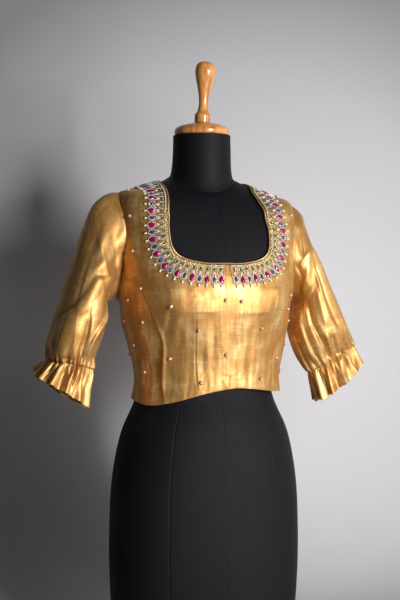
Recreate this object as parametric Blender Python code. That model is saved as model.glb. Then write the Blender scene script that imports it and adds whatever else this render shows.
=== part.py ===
"""Choli blouse worn by a limbless, cloth-covered dress form.

Metres, +Z up.  The origin is the centre of the form's flat underside.  The front faces -Y
and the wearer's left is +X.  The form is one smooth loft of rings.  The blouse body is that
surface moved out by an ease table; every panel is an outline filled on it and given a wall.
The sleeves are tubes between an overarm line and an underarm line, and a gathered frill
hangs from each elastic line.
"""
import bisect
import math

import bmesh
import bpy
from mathutils import Vector
from mathutils.geometry import delaunay_2d_cdt

# ---------------------------------------------------------------- driving sizes (metres)
CLOTH = 0.0014            # wall of tissue silk and its cotton backing
FRILL_CLOTH = 0.0012      # single cloth of the frills
SEAM_GAP = 0.0006         # clearance between pieces that are sewn together
LIE_GAP = 0.0011          # clearance under what lies on a panel
WAIST_SHIFT = 0.0045      # the waist of the blouse sits this far toward the wearer's left
SHOULDER_LEAN = 0.030     # slope of the shoulders down toward the wearer's left
PANEL_STEP = 0.0220       # spacing of the points inside a panel
SHOULDER_LEVEL = 0.735    # above this level the points are closer
SHOULDER_SHARE = 0.62     # by this share of the spacing
CLEAR_SHARE = 0.62        # an inside point keeps this share of the spacing from all others
SAME_POINT = 0.0012       # outline points closer than this count as one
EDGE_STEP = 0.0130        # spacing of the points along a panel's outline
NECK_STEP = 0.0095        # the same along the neck edge
PLANE_RADIUS = 0.140      # unrolls an angle round the body into a length

FORM_SIDES = 28           # points round the form
FORM_STEP = 0.045         # largest spacing of the form's rings

NECK_TOP = 0.868          # flat top of the form's neck
FINIAL_TILT = 3.6         # degrees, toward the wearer's left
SHARP_ANGLE = 40.0        # degrees between faces from which an edge is drawn sharp
TURNED_SIDES = 20

# One row for each ring of the form.  The heights differ at the side, front and back, so
# that the upper rings follow the slope of the shoulders.
# level, half_width, front, back, side_y, square, z_side, z_front, z_back
FORM_RINGS = (
    (0.000, 0.1580, 0.100, 0.110, 0.000, 0.010, 0.000, 0.000, 0.000),
    (0.020, 0.1620, 0.103, 0.114, 0.000, 0.010, 0.020, 0.020, 0.020),
    (0.060, 0.1665, 0.108, 0.121, 0.000, 0.010, 0.060, 0.060, 0.060),
    (0.130, 0.1695, 0.112, 0.124, -0.001, 0.010, 0.130, 0.130, 0.130),
    (0.200, 0.1690, 0.113, 0.124, -0.001, 0.010, 0.200, 0.200, 0.200),
    (0.250, 0.1668, 0.112, 0.120, -0.001, 0.010, 0.250, 0.250, 0.250),
    (0.290, 0.1622, 0.111, 0.114, 0.000, 0.010, 0.290, 0.290, 0.290),
    (0.330, 0.1545, 0.108, 0.106, 0.000, 0.010, 0.330, 0.330, 0.330),
    (0.360, 0.1455, 0.103, 0.101, 0.000, 0.010, 0.360, 0.360, 0.360),
    (0.387, 0.1325, 0.096, 0.097, 0.000, 0.010, 0.387, 0.387, 0.387),
    (0.405, 0.1245, 0.091, 0.094, 0.000, 0.010, 0.405, 0.405, 0.405),
    (0.430, 0.1185, 0.087, 0.090, 0.000, 0.010, 0.430, 0.430, 0.430),
    (0.460, 0.1215, 0.090, 0.091, 0.000, 0.010, 0.460, 0.460, 0.460),
    (0.500, 0.1325, 0.101, 0.097, 0.000, 0.012, 0.500, 0.500, 0.500),
    (0.545, 0.1430, 0.114, 0.104, 0.000, 0.015, 0.545, 0.545, 0.545),
    (0.580, 0.1478, 0.120, 0.108, 0.001, 0.018, 0.580, 0.580, 0.580),
    (0.610, 0.1505, 0.118, 0.110, 0.002, 0.022, 0.610, 0.608, 0.610),
    (0.650, 0.1525, 0.109, 0.109, 0.003, 0.030, 0.650, 0.643, 0.650),
    (0.690, 0.1530, 0.098, 0.104, 0.004, 0.040, 0.689, 0.676, 0.692),
    (0.730, 0.1535, 0.085, 0.094, 0.005, 0.050, 0.725, 0.706, 0.730),
    (0.760, 0.1490, 0.074, 0.084, 0.006, 0.045, 0.752, 0.728, 0.758),
    (0.785, 0.1240, 0.065, 0.077, 0.008, 0.030, 0.7645, 0.743, 0.777),
    (0.810, 0.0920, 0.055, 0.071, 0.010, 0.015, 0.7765, 0.7555, 0.794),
    (0.840, 0.0575, 0.0400, 0.0750, 0.0175, 0.000, 0.7935, 0.7670, 0.812),
    (0.855, 0.0530, 0.0365, 0.0705, 0.0168, 0.000, 0.8070, 0.7830, 0.824),
    (0.880, 0.0513, 0.0360, 0.0665, 0.0152, 0.000, 0.8350, 0.8230, 0.843),
    (0.910, 0.0505, 0.0355, 0.0660, 0.0152, 0.000, 0.8680, 0.8680, 0.8680),
)

# Distance from the form to the outside of the blouse.
# level, side, front, back
EASE = (
    (0.340, 0.0055, 0.0060, 0.0055),
    (0.387, 0.0095, 0.0085, 0.0075),
    (0.405, 0.0105, 0.0105, 0.0090),
    (0.430, 0.0115, 0.0125, 0.0110),
    (0.460, 0.0092, 0.0100, 0.0090),
    (0.500, 0.0064, 0.0070, 0.0062),
    (0.545, 0.0050, 0.0050, 0.0052),
    (0.570, 0.0035, 0.0045, 0.0048),
    (0.595, 0.0075, 0.0042, 0.0045),
    (0.640, 0.0090, 0.0036, 0.0040),
    (0.690, 0.0105, 0.0030, 0.0034),
    (0.730, 0.0095, 0.0026, 0.0030),
    (0.760, 0.0085, 0.0030, 0.0034),
    (0.785, 0.0035, 0.0033, 0.0035),
    (0.870, 0.0036, 0.0036, 0.0036),
)

BUST_ANGLE = 0.62         # radians from the centre front to the fullest point
BUST_LEVEL = 0.578
BUST_RISE = 0.0085
BUST_SPREAD = 0.40        # radians
BUST_HEIGHT = 0.042


# ---------------------------------------------------------------- small mathematics
def interpolate(rows, key):
    """Smooth values of a table at a key in its first column."""
    keys = [row[0] for row in rows]
    key = min(max(key, keys[0]), keys[-1])
    index = min(max(bisect.bisect_right(keys, key) - 1, 0), len(rows) - 2)
    low, high = rows[index], rows[index + 1]
    before = rows[max(index - 1, 0)]
    after = rows[min(index + 2, len(rows) - 1)]
    span = high[0] - low[0]
    part = (key - low[0]) / span
    values = []
    for column in range(1, len(low)):
        rise = high[column] - low[column]
        slope_in = span * (high[column] - before[column]) / (high[0] - before[0])
        slope_out = span * (after[column] - low[column]) / (after[0] - low[0])
        cubic = slope_in + slope_out - 2.0 * rise
        square = 3.0 * rise - 2.0 * slope_in - slope_out
        values.append(low[column] + part * (slope_in + part * (square + part * cubic)))
    return values


def bell(distance, spread):
    """A smooth bump: one at the middle, nothing far away."""
    return math.exp(-(distance / spread) ** 2)


def smooth_step(value):
    """Rise from nothing at zero to one at one, level at both ends."""
    value = min(max(value, 0.0), 1.0)
    return value * value * (3.0 - 2.0 * value)


# ---------------------------------------------------------------- the body's surface
def form_point(phi, level):
    """A point of the form: phi is 0 at the front and +90 degrees at the wearer's left."""
    phi = math.remainder(phi, 2.0 * math.pi)
    (half_width, front, back, side_y, square,
     z_side, z_front, z_back) = interpolate(FORM_RINGS, level)
    sine, cosine = math.sin(phi), math.cos(phi)
    across = (sine + square * math.sin(3.0 * phi)) / (1.0 - square)
    along = (cosine - square * math.cos(3.0 * phi)) / (1.0 - square)
    depth = front + side_y if along > 0.0 else back - side_y
    z_facing = z_front if cosine > 0.0 else z_back
    bust = bell(level - BUST_LEVEL, BUST_HEIGHT) * BUST_RISE
    mound = bell(abs(phi) - BUST_ANGLE, BUST_SPREAD) * bust if cosine > 0.0 else 0.0
    x = half_width * across + mound * sine
    lean = smooth_step((level - 0.66) / 0.10) * (1.0 - smooth_step((level - 0.79) / 0.05))
    return Vector((x,
                   side_y - depth * along - mound * cosine,
                   z_side + (z_facing - z_side) * cosine * cosine - SHOULDER_LEAN * lean * x))


def surface_normal(surface, phi, level):
    """Outward normal of a surface given as a function of phi and level."""
    turn, rise = 0.004, 0.0008
    around = surface(phi + turn, level) - surface(phi - turn, level)
    upward = surface(phi, level + rise) - surface(phi, level - rise)
    return around.cross(upward).normalized()


def blouse_point(phi, level):
    """A point on the outside of the blouse body."""
    side, front, back = interpolate(EASE, level)
    facing = math.cos(phi)
    ease = side + ((front if facing > 0.0 else back) - side) * facing * facing
    base = form_point(phi, level)
    point = base + surface_normal(form_point, phi, level) * ease
    point.x += WAIST_SHIFT * (1.0 - smooth_step((level - 0.48) / 0.07))
    return point


def lifted(phi, level, height):
    """A point at a height over the blouse's outer surface; negative is toward the form."""
    return blouse_point(phi, level) + surface_normal(blouse_point, phi, level) * height


def locate(x, z, start=None):
    """Find phi and level of the blouse point with a given x and z."""
    phi, level = start if start else (math.asin(max(-0.95, min(0.95, x / 0.16))), z)
    for _ in range(40):
        here = blouse_point(phi, level)
        miss_x, miss_z = x - here.x, z - here.z
        if abs(miss_x) + abs(miss_z) < 1e-6:
            break
        turn, rise = 0.002, 0.0005
        by_phi = (blouse_point(phi + turn, level) - here) / turn
        by_level = (blouse_point(phi, level + rise) - here) / rise
        spread = by_phi.x * by_level.z - by_level.x * by_phi.z
        if abs(spread) < 1e-9:
            break
        step_phi = (miss_x * by_level.z - by_level.x * miss_z) / spread
        step_level = (by_phi.x * miss_z - miss_x * by_phi.z) / spread
        phi += max(-0.2, min(0.2, step_phi))
        level += max(-0.02, min(0.02, step_level))
    return phi, level


# ---------------------------------------------------------------- seams and edges
# Front neckline of either side, from the centre front to the shoulder seam: x, z
FRONT_NECK = (
    (0.0000, 0.6390),
    (0.0250, 0.6385),
    (0.0470, 0.6410),
    (0.0670, 0.6460),
    (0.0810, 0.6545),
    (0.0885, 0.6680),
    (0.0910, 0.6850),
    (0.0915, 0.7020),
    (0.0890, 0.7240),
    (0.0845, 0.7480),
    (0.0805, 0.7700),
)
NECK_SHIFT = -0.0030      # the neckline lies this far toward the wearer's right
SHOULDER_PHI = 88.0       # degrees: the shoulder seams lie on this line of the surface
SIDE_PHI = 93.0           # degrees: the side seams

# Back neckline: angle in degrees, level
BACK_NECK = (
    (92.0, 0.8210),
    (104.0, 0.8190),
    (115.0, 0.8120),
    (128.5, 0.7990),
    (143.0, 0.7700),
    (149.0, 0.7450),
    (156.5, 0.7250),
    (167.0, 0.7120),
    (180.0, 0.7075),
)

# Princess seam of the front, below the armhole and down to the hem: x, z
PRINCESS_TOP = 0.630      # level where the princess seam leaves the armhole
PRINCESS = (
    (0.1480, 0.6200),
    (0.1405, 0.6070),
    (0.1355, 0.5930),
    (0.1275, 0.5710),
    (0.1215, 0.5500),
    (0.1120, 0.5310),
    (0.1040, 0.5120),
    (0.1000, 0.4800),
    (0.0990, 0.4400),
    (0.0995, 0.3990),
)

# Hem level at angles round the body; the wearer's right hangs lower.
HEM = (
    (-180.0, 0.4090),
    (-135.0, 0.4070),
    (-90.0, 0.4030),
    (-64.0, 0.3965),
    (-49.0, 0.3995),
    (-33.0, 0.4075),
    (-19.0, 0.4165),
    (-6.0, 0.4235),
    (8.0, 0.4285),
    (21.0, 0.4265),
    (45.0, 0.4195),
    (68.0, 0.4165),
    (90.0, 0.4140),
    (135.0, 0.4105),
    (180.0, 0.4090),
)

# Armholes: level, then y of the front and back edges on the wearer's right and left.
# The first and last rows are the shoulder point and the underarm point.
ARMHOLE = (
    (0.7640, 0.004, 0.004, 0.004, 0.004),
    (0.7540, -0.014, 0.022, -0.018, 0.022),
    (0.7340, -0.031, 0.038, -0.038, 0.038),
    (0.7080, -0.041, 0.047, -0.052, 0.047),
    (0.6800, -0.042, 0.052, -0.060, 0.052),
    (0.6520, -0.033, 0.052, -0.062, 0.052),
    (0.6260, -0.023, 0.046, -0.052, 0.046),
    (0.6040, -0.014, 0.034, -0.034, 0.034),
    (0.5880, -0.002, 0.020, -0.014, 0.020),
    (0.5830, 0.008, 0.008, 0.004, 0.004),
)
PLACKET_LINE = (          # level, angle in degrees of the centre-front closing
    (0.380, 3.2),
    (0.450, 2.8),
    (0.530, 0.6),
    (0.600, -0.2),
    (0.660, 0.2),
)


def placket_phi(level):
    """The angle of the centre-front line at a level."""
    return math.radians(interpolate(PLACKET_LINE, level)[0])


def hem_level(phi):
    """The hem's level at an angle."""
    return interpolate(HEM, math.degrees(math.remainder(phi, 2.0 * math.pi)))[0]


def spline(points, step):
    """Points at an even spacing along a smooth curve through plane points."""
    knots = [Vector(point) for point in points]
    dense = []
    for index in range(len(knots) - 1):
        start, end = knots[index], knots[index + 1]
        leave = (end - knots[index - 1]) * 0.5 if index else end - start
        arrive = (knots[index + 2] - start) * 0.5 if index + 2 < len(knots) else end - start
        for part in range(16):
            t = part / 16.0
            dense.append(start * (2 * t ** 3 - 3 * t ** 2 + 1) + leave * (t ** 3 - 2 * t ** 2 + t)
                         + end * (3 * t ** 2 - 2 * t ** 3) + arrive * (t ** 3 - t ** 2))
    dense.append(knots[-1])
    return resample(dense, step)


def resample(dense, step):
    """Evenly spaced points along a chain of points, both ends kept."""
    lengths = [0.0]
    for index in range(1, len(dense)):
        lengths.append(lengths[-1] + (dense[index] - dense[index - 1]).length)
    count = max(1, round(lengths[-1] / step))
    result = []
    for number in range(count + 1):
        target = lengths[-1] * number / count
        index = min(max(bisect.bisect_left(lengths, target), 1), len(dense) - 1)
        span = lengths[index] - lengths[index - 1]
        part = (target - lengths[index - 1]) / span if span else 0.0
        result.append(dense[index - 1].lerp(dense[index], part))
    return result


def plane(phi, level):
    """Unrolled plane coordinates of a surface place."""
    return Vector((phi * PLANE_RADIUS, level))


def neckline():
    """The whole neck edge in the plane, from the centre front round the wearer's right,
    the back and the left to the centre front again; phi runs from about 0 to -360 degrees."""
    turn = 2.0 * math.pi
    right, left = [], []
    for side, places in ((-1, right), (1, left)):
        start = None
        for x, z in FRONT_NECK:
            start = locate(side * x + NECK_SHIFT, z, start=start)
            places.append(plane(*start))
        places[0] = plane(placket_phi(places[0].y), places[0].y)
    back = [plane(-math.radians(angle), level) for angle, level in BACK_NECK]
    back += [plane(math.radians(angle) - turn, level) for angle, level in BACK_NECK[-2::-1]]
    left = [place - plane(turn, 0.0) for place in left[::-1]]
    return spline(right + back + left, 0.004)


def split_at_shoulders(chain):
    """Cut the neck edge at both shoulder seams: right front, back, left front."""
    first = min(range(len(chain)), key=lambda i: abs(chain[i].x + shoulder_x()))
    second = min(range(len(chain)), key=lambda i: abs(chain[i].x - shoulder_x()
                                                      + plane(2.0 * math.pi, 0.0).x))
    return chain[:first + 1], chain[first:second + 1], chain[second:]


def shoulder_x():
    """Plane coordinate of the shoulder seam."""
    return math.radians(SHOULDER_PHI) * PLANE_RADIUS


def edge_phi(level, y, side):
    """The angle near a side where the blouse has a given y at a level."""
    low, high = math.radians(35.0), math.radians(150.0)
    for _ in range(40):
        middle = 0.5 * (low + high)
        if blouse_point(side * middle, level).y < y:
            low = middle
        else:
            high = middle
    return side * 0.5 * (low + high)


def armhole(side):
    """Armhole in the plane: front edge from the shoulder point down, back edge the same."""
    columns = (1, 2) if side < 0 else (3, 4)
    return [[plane(edge_phi(row[0], row[column], side), row[0]) for row in ARMHOLE]
            for column in columns]


def princess(side):
    """Princess seam in the plane, armhole to hem."""
    column = 1 if side < 0 else 3
    rows = [(row[0], row[column]) for row in ARMHOLE[::-1]]
    y = interpolate(rows, PRINCESS_TOP)[0]
    phi = edge_phi(PRINCESS_TOP, y, side)
    places = [plane(phi, PRINCESS_TOP)]
    start = (phi, PRINCESS_TOP)
    for x, z in PRINCESS:
        start = locate(side * x, z, start=start)
        places.append(plane(*start))
    last = places[-1].x / PLANE_RADIUS
    places[-1] = plane(last, hem_level(last))
    return places


def cut_level(chain, level, keep_above):
    """The part of a rising or falling chain above (or below) a level."""
    return [point for point in chain if (point.y >= level - 1e-6) == keep_above]


def hem_chain(first_phi, last_phi):
    """The hem in the plane between two angles."""
    count = max(2, round(abs(last_phi - first_phi) * PLANE_RADIUS / EDGE_STEP))
    angles = [first_phi + (last_phi - first_phi) * i / count for i in range(count + 1)]
    return [plane(phi, hem_level(phi)) for phi in angles]


# ---------------------------------------------------------------- filling an outline
def cross(a, b):
    """The turn from one plane vector to another."""
    return a.x * b.y - a.y * b.x


def inset(outline, distance):
    """Move a closed outline inward by a distance."""
    turning = sum(cross(outline[i - 1], outline[i]) for i in range(len(outline)))
    if turning < 0.0:
        outline = outline[::-1]
    moved = []
    for index, point in enumerate(outline):
        before = (point - outline[index - 1]).normalized()
        after = (outline[(index + 1) % len(outline)] - point).normalized()
        inward = Vector((-before.y - after.y, before.x + after.x))
        scale = distance / max(0.35, 0.5 * inward.length)
        moved.append(point + inward.normalized() * scale)
    return moved


def inside(point, outline):
    """Whether a plane point lies inside a closed outline."""
    hit = False
    for index, end in enumerate(outline):
        start = outline[index - 1]
        if (start.y > point.y) != (end.y > point.y):
            across = start.x + (point.y - start.y) * (end.x - start.x) / (end.y - start.y)
            if point.x < across:
                hit = not hit
    return hit


def clearance(point, outline):
    """Shortest distance from a point to an outline's corners."""
    return min((point - corner).length for corner in outline)


def fill(outline, step, extra=(), loops=()):
    """Triangles that fill an outline: (plane points, triangles, outline order)."""
    points = list(outline)
    edges = [(i, (i + 1) % len(outline)) for i in range(len(outline))]
    for loop in loops:
        first = len(points)
        points.extend(loop)
        edges += [(first + i, first + (i + 1) % len(loop)) for i in range(len(loop))]
    points.extend(extra)
    if step:
        xs = [point.x for point in outline]
        ys = [point.y for point in outline]
        row, y = 0, min(ys)
        while y < max(ys):
            pace = step * SHOULDER_SHARE if y > SHOULDER_LEVEL else step
            x = min(xs) + (0.5 * pace if row % 2 else 0.0)
            while x < max(xs):
                spot = Vector((x, y))
                if inside(spot, outline) and clearance(spot, points) > CLEAR_SHARE * pace:
                    points.append(spot)
                x += pace
            y += pace * 0.866
            row += 1
    verts, _, faces, _, _, _ = delaunay_2d_cdt(points, edges, [list(range(len(outline)))], 1, 1e-7)
    return verts, [list(face) for face in faces]


def wall(name, verts, faces, outer, inner, material):
    """A closed solid: plane triangles mapped to an outer and an inner surface."""
    top = [outer(vert) for vert in verts]
    bottom = [inner(vert) for vert in verts]
    used = {(face[i], face[(i + 1) % 3]): None for face in faces for i in range(3)}
    rims = [(a, b) for a, b in used if (b, a) not in used]
    count = len(verts)
    polygons = [tuple(face) for face in faces]
    polygons += [tuple(count + i for i in reversed(face)) for face in faces]
    polygons += [(b, a, count + a, count + b) for a, b in rims]
    return add_mesh(name, top + bottom, polygons, material)


def add_mesh(name, points, polygons, material):
    """Make an object from points and polygons, faces pointing out."""
    mesh = bpy.data.meshes.new(name)
    mesh.from_pydata([tuple(point) for point in points], [], polygons)
    work = bmesh.new()
    work.from_mesh(mesh)
    bmesh.ops.triangulate(work, faces=work.faces[:])
    bmesh.ops.recalc_face_normals(work, faces=work.faces[:])
    if work.calc_volume(signed=True) < 0.0:
        bmesh.ops.reverse_faces(work, faces=work.faces[:])
    work.to_mesh(mesh)
    work.free()
    mesh.shade_smooth()
    mesh.set_sharp_from_angle(angle=math.radians(SHARP_ANGLE))
    mesh.materials.append(material)
    thing = bpy.data.objects.new(name, mesh)
    bpy.context.scene.collection.objects.link(thing)
    return thing


def panel(name, outline, material, under_border=()):
    """A cloth panel filled between seams, with its wall toward the form."""
    edge = inset(outline, SEAM_GAP / 2.0)
    rows = [spot for spot in under_border
            if inside(spot, edge) and clearance(spot, edge) > 0.4 * EDGE_STEP]
    verts, faces = fill(edge, PANEL_STEP, rows)
    return wall(name, verts, faces,
                lambda spot: lifted(spot.x / PLANE_RADIUS, spot.y, 0.0),
                lambda spot: lifted(spot.x / PLANE_RADIUS, spot.y, -CLOTH), material)


def join(*chains):
    """Chain curves end to end into one outline, dropping repeated ends."""
    outline = []
    for chain in chains:
        for point in chain:
            if not outline or (point - outline[-1]).length > SAME_POINT:
                outline.append(point)
    while (outline[0] - outline[-1]).length < SAME_POINT:
        outline.pop()
    return outline


# ---------------------------------------------------------------- the blouse's panels
def centre_front(side, name, strip, material):
    """Centre panel of a front, from the closing to the princess seam and up the strap."""
    front_edge, _ = armhole(side)
    arm = spline(front_edge, EDGE_STEP)
    seam = spline(princess(side), EDGE_STEP)
    right_neck, _, left_neck = split_at_shoulders(strip.chain)
    turn = plane(0.0 if side < 0 else 2.0 * math.pi, 0.0)
    edge = right_neck if side < 0 else left_neck[::-1]
    neck = resample([point + turn for point in edge], NECK_STEP)
    strap_end = resample([arm[0], neck[-1]], EDGE_STEP)
    levels = [neck[0].y + (hem_level(0.0) - neck[0].y) * i / 18 for i in range(19)]
    closing = [plane(placket_phi(level), level) for level in levels]
    hem = hem_chain(closing[-1].x / PLANE_RADIUS, seam[-1].x / PLANE_RADIUS)
    closing[-1] = hem[0]
    upper_arm = [seam[0]] + cut_level(arm, PRINCESS_TOP + 0.003, True)[::-1]
    return panel(name, join(hem, seam[::-1], upper_arm, strap_end, neck[::-1], closing), material,
                 [spot + turn for spot in strip.rows()])


def side_front(side, name, material):
    """Side panel of a front, under the arm."""
    front_edge, _ = armhole(side)
    arm = spline(front_edge, EDGE_STEP)
    seam = spline(princess(side), EDGE_STEP)
    lower_arm = cut_level(arm, PRINCESS_TOP - 0.003, False)
    side_hem = side * math.radians(SIDE_PHI)
    hem = hem_chain(seam[-1].x / PLANE_RADIUS, side_hem)
    side_seam = resample([hem[-1], arm[-1]], EDGE_STEP)
    return panel(name, join(hem, side_seam, lower_arm[::-1], seam), material)


def back_panel(name, strip, material):
    """The back in one piece, from side seam to side seam."""
    turn = plane(2.0 * math.pi, 0.0)
    left_arm = spline(armhole(1)[1], EDGE_STEP)
    right_arm = [point + turn for point in spline(armhole(-1)[1], EDGE_STEP)]
    _, back_neck, _ = split_at_shoulders(strip.chain)
    neck = resample([point + turn for point in back_neck], NECK_STEP)
    hem = hem_chain(math.radians(SIDE_PHI), math.radians(360.0 - SIDE_PHI))
    right_side = resample([hem[-1], right_arm[-1]], EDGE_STEP)
    right_shoulder = resample([right_arm[0], neck[0]], EDGE_STEP)
    left_shoulder = resample([neck[-1], left_arm[0]], EDGE_STEP)
    left_side = resample([left_arm[-1], hem[0]], EDGE_STEP)
    return panel(name, join(hem, right_side, right_arm[::-1], right_shoulder, neck,
                            left_shoulder, left_arm, left_side), material,
                 [spot + turn for spot in strip.rows()])


# ---------------------------------------------------------------- what lies on the panels
BORDER_WIDTH = 0.0405     # neck edge to the tips of the hanging pearls
BORDER_BODY = 0.0350      # neck edge to the scallops between them
BORDER_IN = 0.0014        # neck edge to the band's first points
BORDER_MIDDLE = 0.0125
BORDER_WALL = 0.0012
BORDER_GAP = 0.0015       # half the gap between two pieces at a shoulder
BORDER_TAPER = 0.0026     # how much a piece's ends lean in at its outer edge
BORDER_START = 0.0060     # bare placket strip either side of the closing
STONE_ROW = 0.0270        # neck edge to the middle of the large stones
STONE_PITCH = 0.0122      # along that row, ruby to blue
RUBY_HALF = (0.0048, 0.0072)
BLUE_HALF = (0.0030, 0.0048)
RUBY_RISE = 0.0030
BLUE_RISE = 0.0022
RAY_SPAN = 9              # neck-edge points to each side that give a ray its direction
RAY_STEP = 0.009


def surface_step(phi, level, direction):
    """Change of phi and level that moves a surface place along a direction in space."""
    turn, rise = 0.002, 0.0005
    here = blouse_point(phi, level)
    by_phi = (blouse_point(phi + turn, level) - here) / turn
    by_level = (blouse_point(phi, level + rise) - here) / rise
    e, f, g = by_phi.dot(by_phi), by_phi.dot(by_level), by_level.dot(by_level)
    p, q = direction.dot(by_phi), direction.dot(by_level)
    spread = e * g - f * f
    return (g * p - f * q) / spread, (e * q - f * p) / spread


class NeckStrip:
    """Places beside the neck edge: length along it and distance into the cloth."""

    def __init__(self, chain):
        self.chain = chain
        self.space = [blouse_point(p.x / PLANE_RADIUS, p.y) for p in chain]
        self.lengths = [0.0]
        for index in range(1, len(chain)):
            self.lengths.append(self.lengths[-1]
                                + (self.space[index] - self.space[index - 1]).length)
        self.rays = [self.ray(index) for index in range(len(chain))]

    def ray(self, index):
        """Places at equal steps from the neck edge into the cloth."""
        last = len(self.chain) - 1
        tangent = self.space[min(index + RAY_SPAN, last)] - self.space[max(index - RAY_SPAN, 0)]
        phi, level = self.chain[index].x / PLANE_RADIUS, self.chain[index].y
        places = [plane(phi, level)]
        normal = surface_normal(blouse_point, phi, level)
        direction = normal.cross(tangent).normalized()
        for _ in range(5):
            step_phi, step_level = surface_step(phi, level, direction * RAY_STEP)
            phi, level = phi + step_phi, level + step_level
            places.append(plane(phi, level))
            normal = surface_normal(blouse_point, phi, level)
            direction = (direction - normal * direction.dot(normal)).normalized()
        return places

    def place(self, length, distance):
        """The plane place at a length along the edge and a distance into the cloth."""
        length = min(max(length, 0.0), self.lengths[-1])
        index = min(max(bisect.bisect_right(self.lengths, length) - 1, 0),
                    len(self.lengths) - 2)
        part = (length - self.lengths[index]) / (self.lengths[index + 1] - self.lengths[index])
        row = min(max(distance / RAY_STEP, 0.0), 4.999)
        step = int(row)
        spots = [self.rays[i][step].lerp(self.rays[i][step + 1], row - step)
                 for i in (index, index + 1)]
        spot = spots[0].lerp(spots[1], part)
        if distance < 0.0:
            spot = spot + (spot - self.rays[index][1].lerp(self.rays[index + 1][1], part)) * (
                -distance / RAY_STEP)
        return spot

    def rows(self):
        """Places under the border, in rows beside the neck edge."""
        count = round(self.lengths[-1] / STONE_PITCH)
        return [self.place(self.lengths[-1] * (i + 0.5) / count, distance)
                for i in range(count) for distance in (BORDER_MIDDLE, STONE_ROW, BORDER_WIDTH)]

    def row_positions(self, first, last, distance, pitch):
        """Lengths along the edge that are evenly spaced on a row inside the cloth."""
        count = 200
        marks = [first + (last - first) * i / count for i in range(count + 1)]
        points = []
        for mark in marks:
            spot = self.place(mark, distance)
            points.append(blouse_point(spot.x / PLANE_RADIUS, spot.y))
        sums = [0.0]
        for index in range(1, len(points)):
            sums.append(sums[-1] + (points[index] - points[index - 1]).length)
        stones = max(2, round(sums[-1] / pitch))
        result = []
        for number in range(stones):
            target = sums[-1] * (number + 0.5) / stones
            index = bisect.bisect_left(sums, target)
            part = (target - sums[index - 1]) / (sums[index] - sums[index - 1])
            result.append(marks[index - 1] + (marks[index] - marks[index - 1]) * part)
        return result


def border(name, strip, first, last, raised, material):
    """A piece of the jewelled border: a scalloped band, with its large stones raised."""
    stones = strip.row_positions(first, last, STONE_ROW, STONE_PITCH)
    outline = [Vector((first + (last - first) * i / len(stones), BORDER_IN))
               for i in range(len(stones) + 1)]
    outline.append(Vector((last - BORDER_TAPER, BORDER_BODY)))
    for index in range(len(stones) - 1, -1, -1):
        outline.append(Vector((stones[index], BORDER_WIDTH)))
        if index:
            outline.append(Vector((0.5 * (stones[index] + stones[index - 1]), BORDER_BODY)))
    outline.append(Vector((first + BORDER_TAPER, BORDER_BODY)))
    loops, extra, heights = [], [], {}
    for index, mark in enumerate(stones):
        extra.append(Vector((mark, BORDER_MIDDLE)))
        if not raised:
            extra.append(Vector((mark, STONE_ROW)))
            continue
        ruby = index % 2 == 0
        half = RUBY_HALF if ruby else BLUE_HALF
        corners = 6 if ruby else 4
        spots = [strip.place(mark + sign * 0.001, STONE_ROW) for sign in (-1, 1)]
        squeeze = 0.002 / max((spots[1] - spots[0]).length, 0.0008)
        loops.append([Vector((mark + half[0] * squeeze * math.sin(2 * math.pi * k / corners),
                              STONE_ROW + half[1] * math.cos(2 * math.pi * k / corners)))
                      for k in range(corners)])
        peak = Vector((mark, STONE_ROW))
        extra.append(peak)
        heights[(round(peak.x, 5), round(peak.y, 5))] = RUBY_RISE if ruby else BLUE_RISE
    verts, faces = fill(outline, 0.0, extra, loops)

    def on_cloth(vert, height):
        spot = strip.place(vert.x, vert.y)
        return lifted(spot.x / PLANE_RADIUS, spot.y, height)

    return wall(name, verts, faces,
                lambda vert: on_cloth(vert, LIE_GAP + BORDER_WALL
                                      + heights.get((round(vert.x, 5), round(vert.y, 5)), 0.0)),
                lambda vert: on_cloth(vert, LIE_GAP), material)


def tube(name, centres, normals, radius, sides, material):
    """A closed tube of round section along a chain of points."""
    points, polygons = [], []
    for index, centre in enumerate(centres):
        ahead = centres[min(index + 1, len(centres) - 1)] - centres[max(index - 1, 0)]
        up = normals[index]
        across = ahead.cross(up).normalized()
        for k in range(sides):
            angle = 2.0 * math.pi * k / sides
            points.append(centre + (across * math.cos(angle) + up * math.sin(angle)) * radius)
    for index in range(len(centres) - 1):
        for k in range(sides):
            a, b = index * sides + k, index * sides + (k + 1) % sides
            polygons.append((a, b, b + sides, a + sides))
    polygons.append(tuple(range(sides)))
    polygons.append(tuple(reversed(range(len(points) - sides, len(points)))))
    return add_mesh(name, points, polygons, material)


BINDING_RADIUS = 0.0011
BINDING_OUT = 0.0020      # centre of the binding beyond the panels' neck edge
BINDING_SPACING = 0.0095
BINDING_END = 0.0006      # the binding stops this far from the closing


def binding(name, strip, material):
    """The rolled cord bound round the neck edge, from one side of the closing to the other."""
    length = strip.lengths[-1] - 2.0 * BINDING_END
    count = round(length / BINDING_SPACING)
    centres, normals = [], []
    for index in range(count + 1):
        mark = BINDING_END + length * index / count
        spot = strip.place(mark, -BINDING_OUT)
        centres.append(lifted(spot.x / PLANE_RADIUS, spot.y, 0.0))
        normals.append(surface_normal(blouse_point, spot.x / PLANE_RADIUS, spot.y))
    return tube(name, centres, normals, BINDING_RADIUS, 5, material)


PLACKET_WALL = 0.0010
PLACKET_HALF = 0.0145     # half width of the stitched box below the border
PLACKET_NECK_HALF = 0.0034
PLACKET_DROP = 0.0012     # the strip's top is this far below the neck edge
PLACKET_BOTTOM = 0.4530   # level of the box's lower edge
BORDER_BOTTOM = 0.5960    # level just below the border at the centre front


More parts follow.
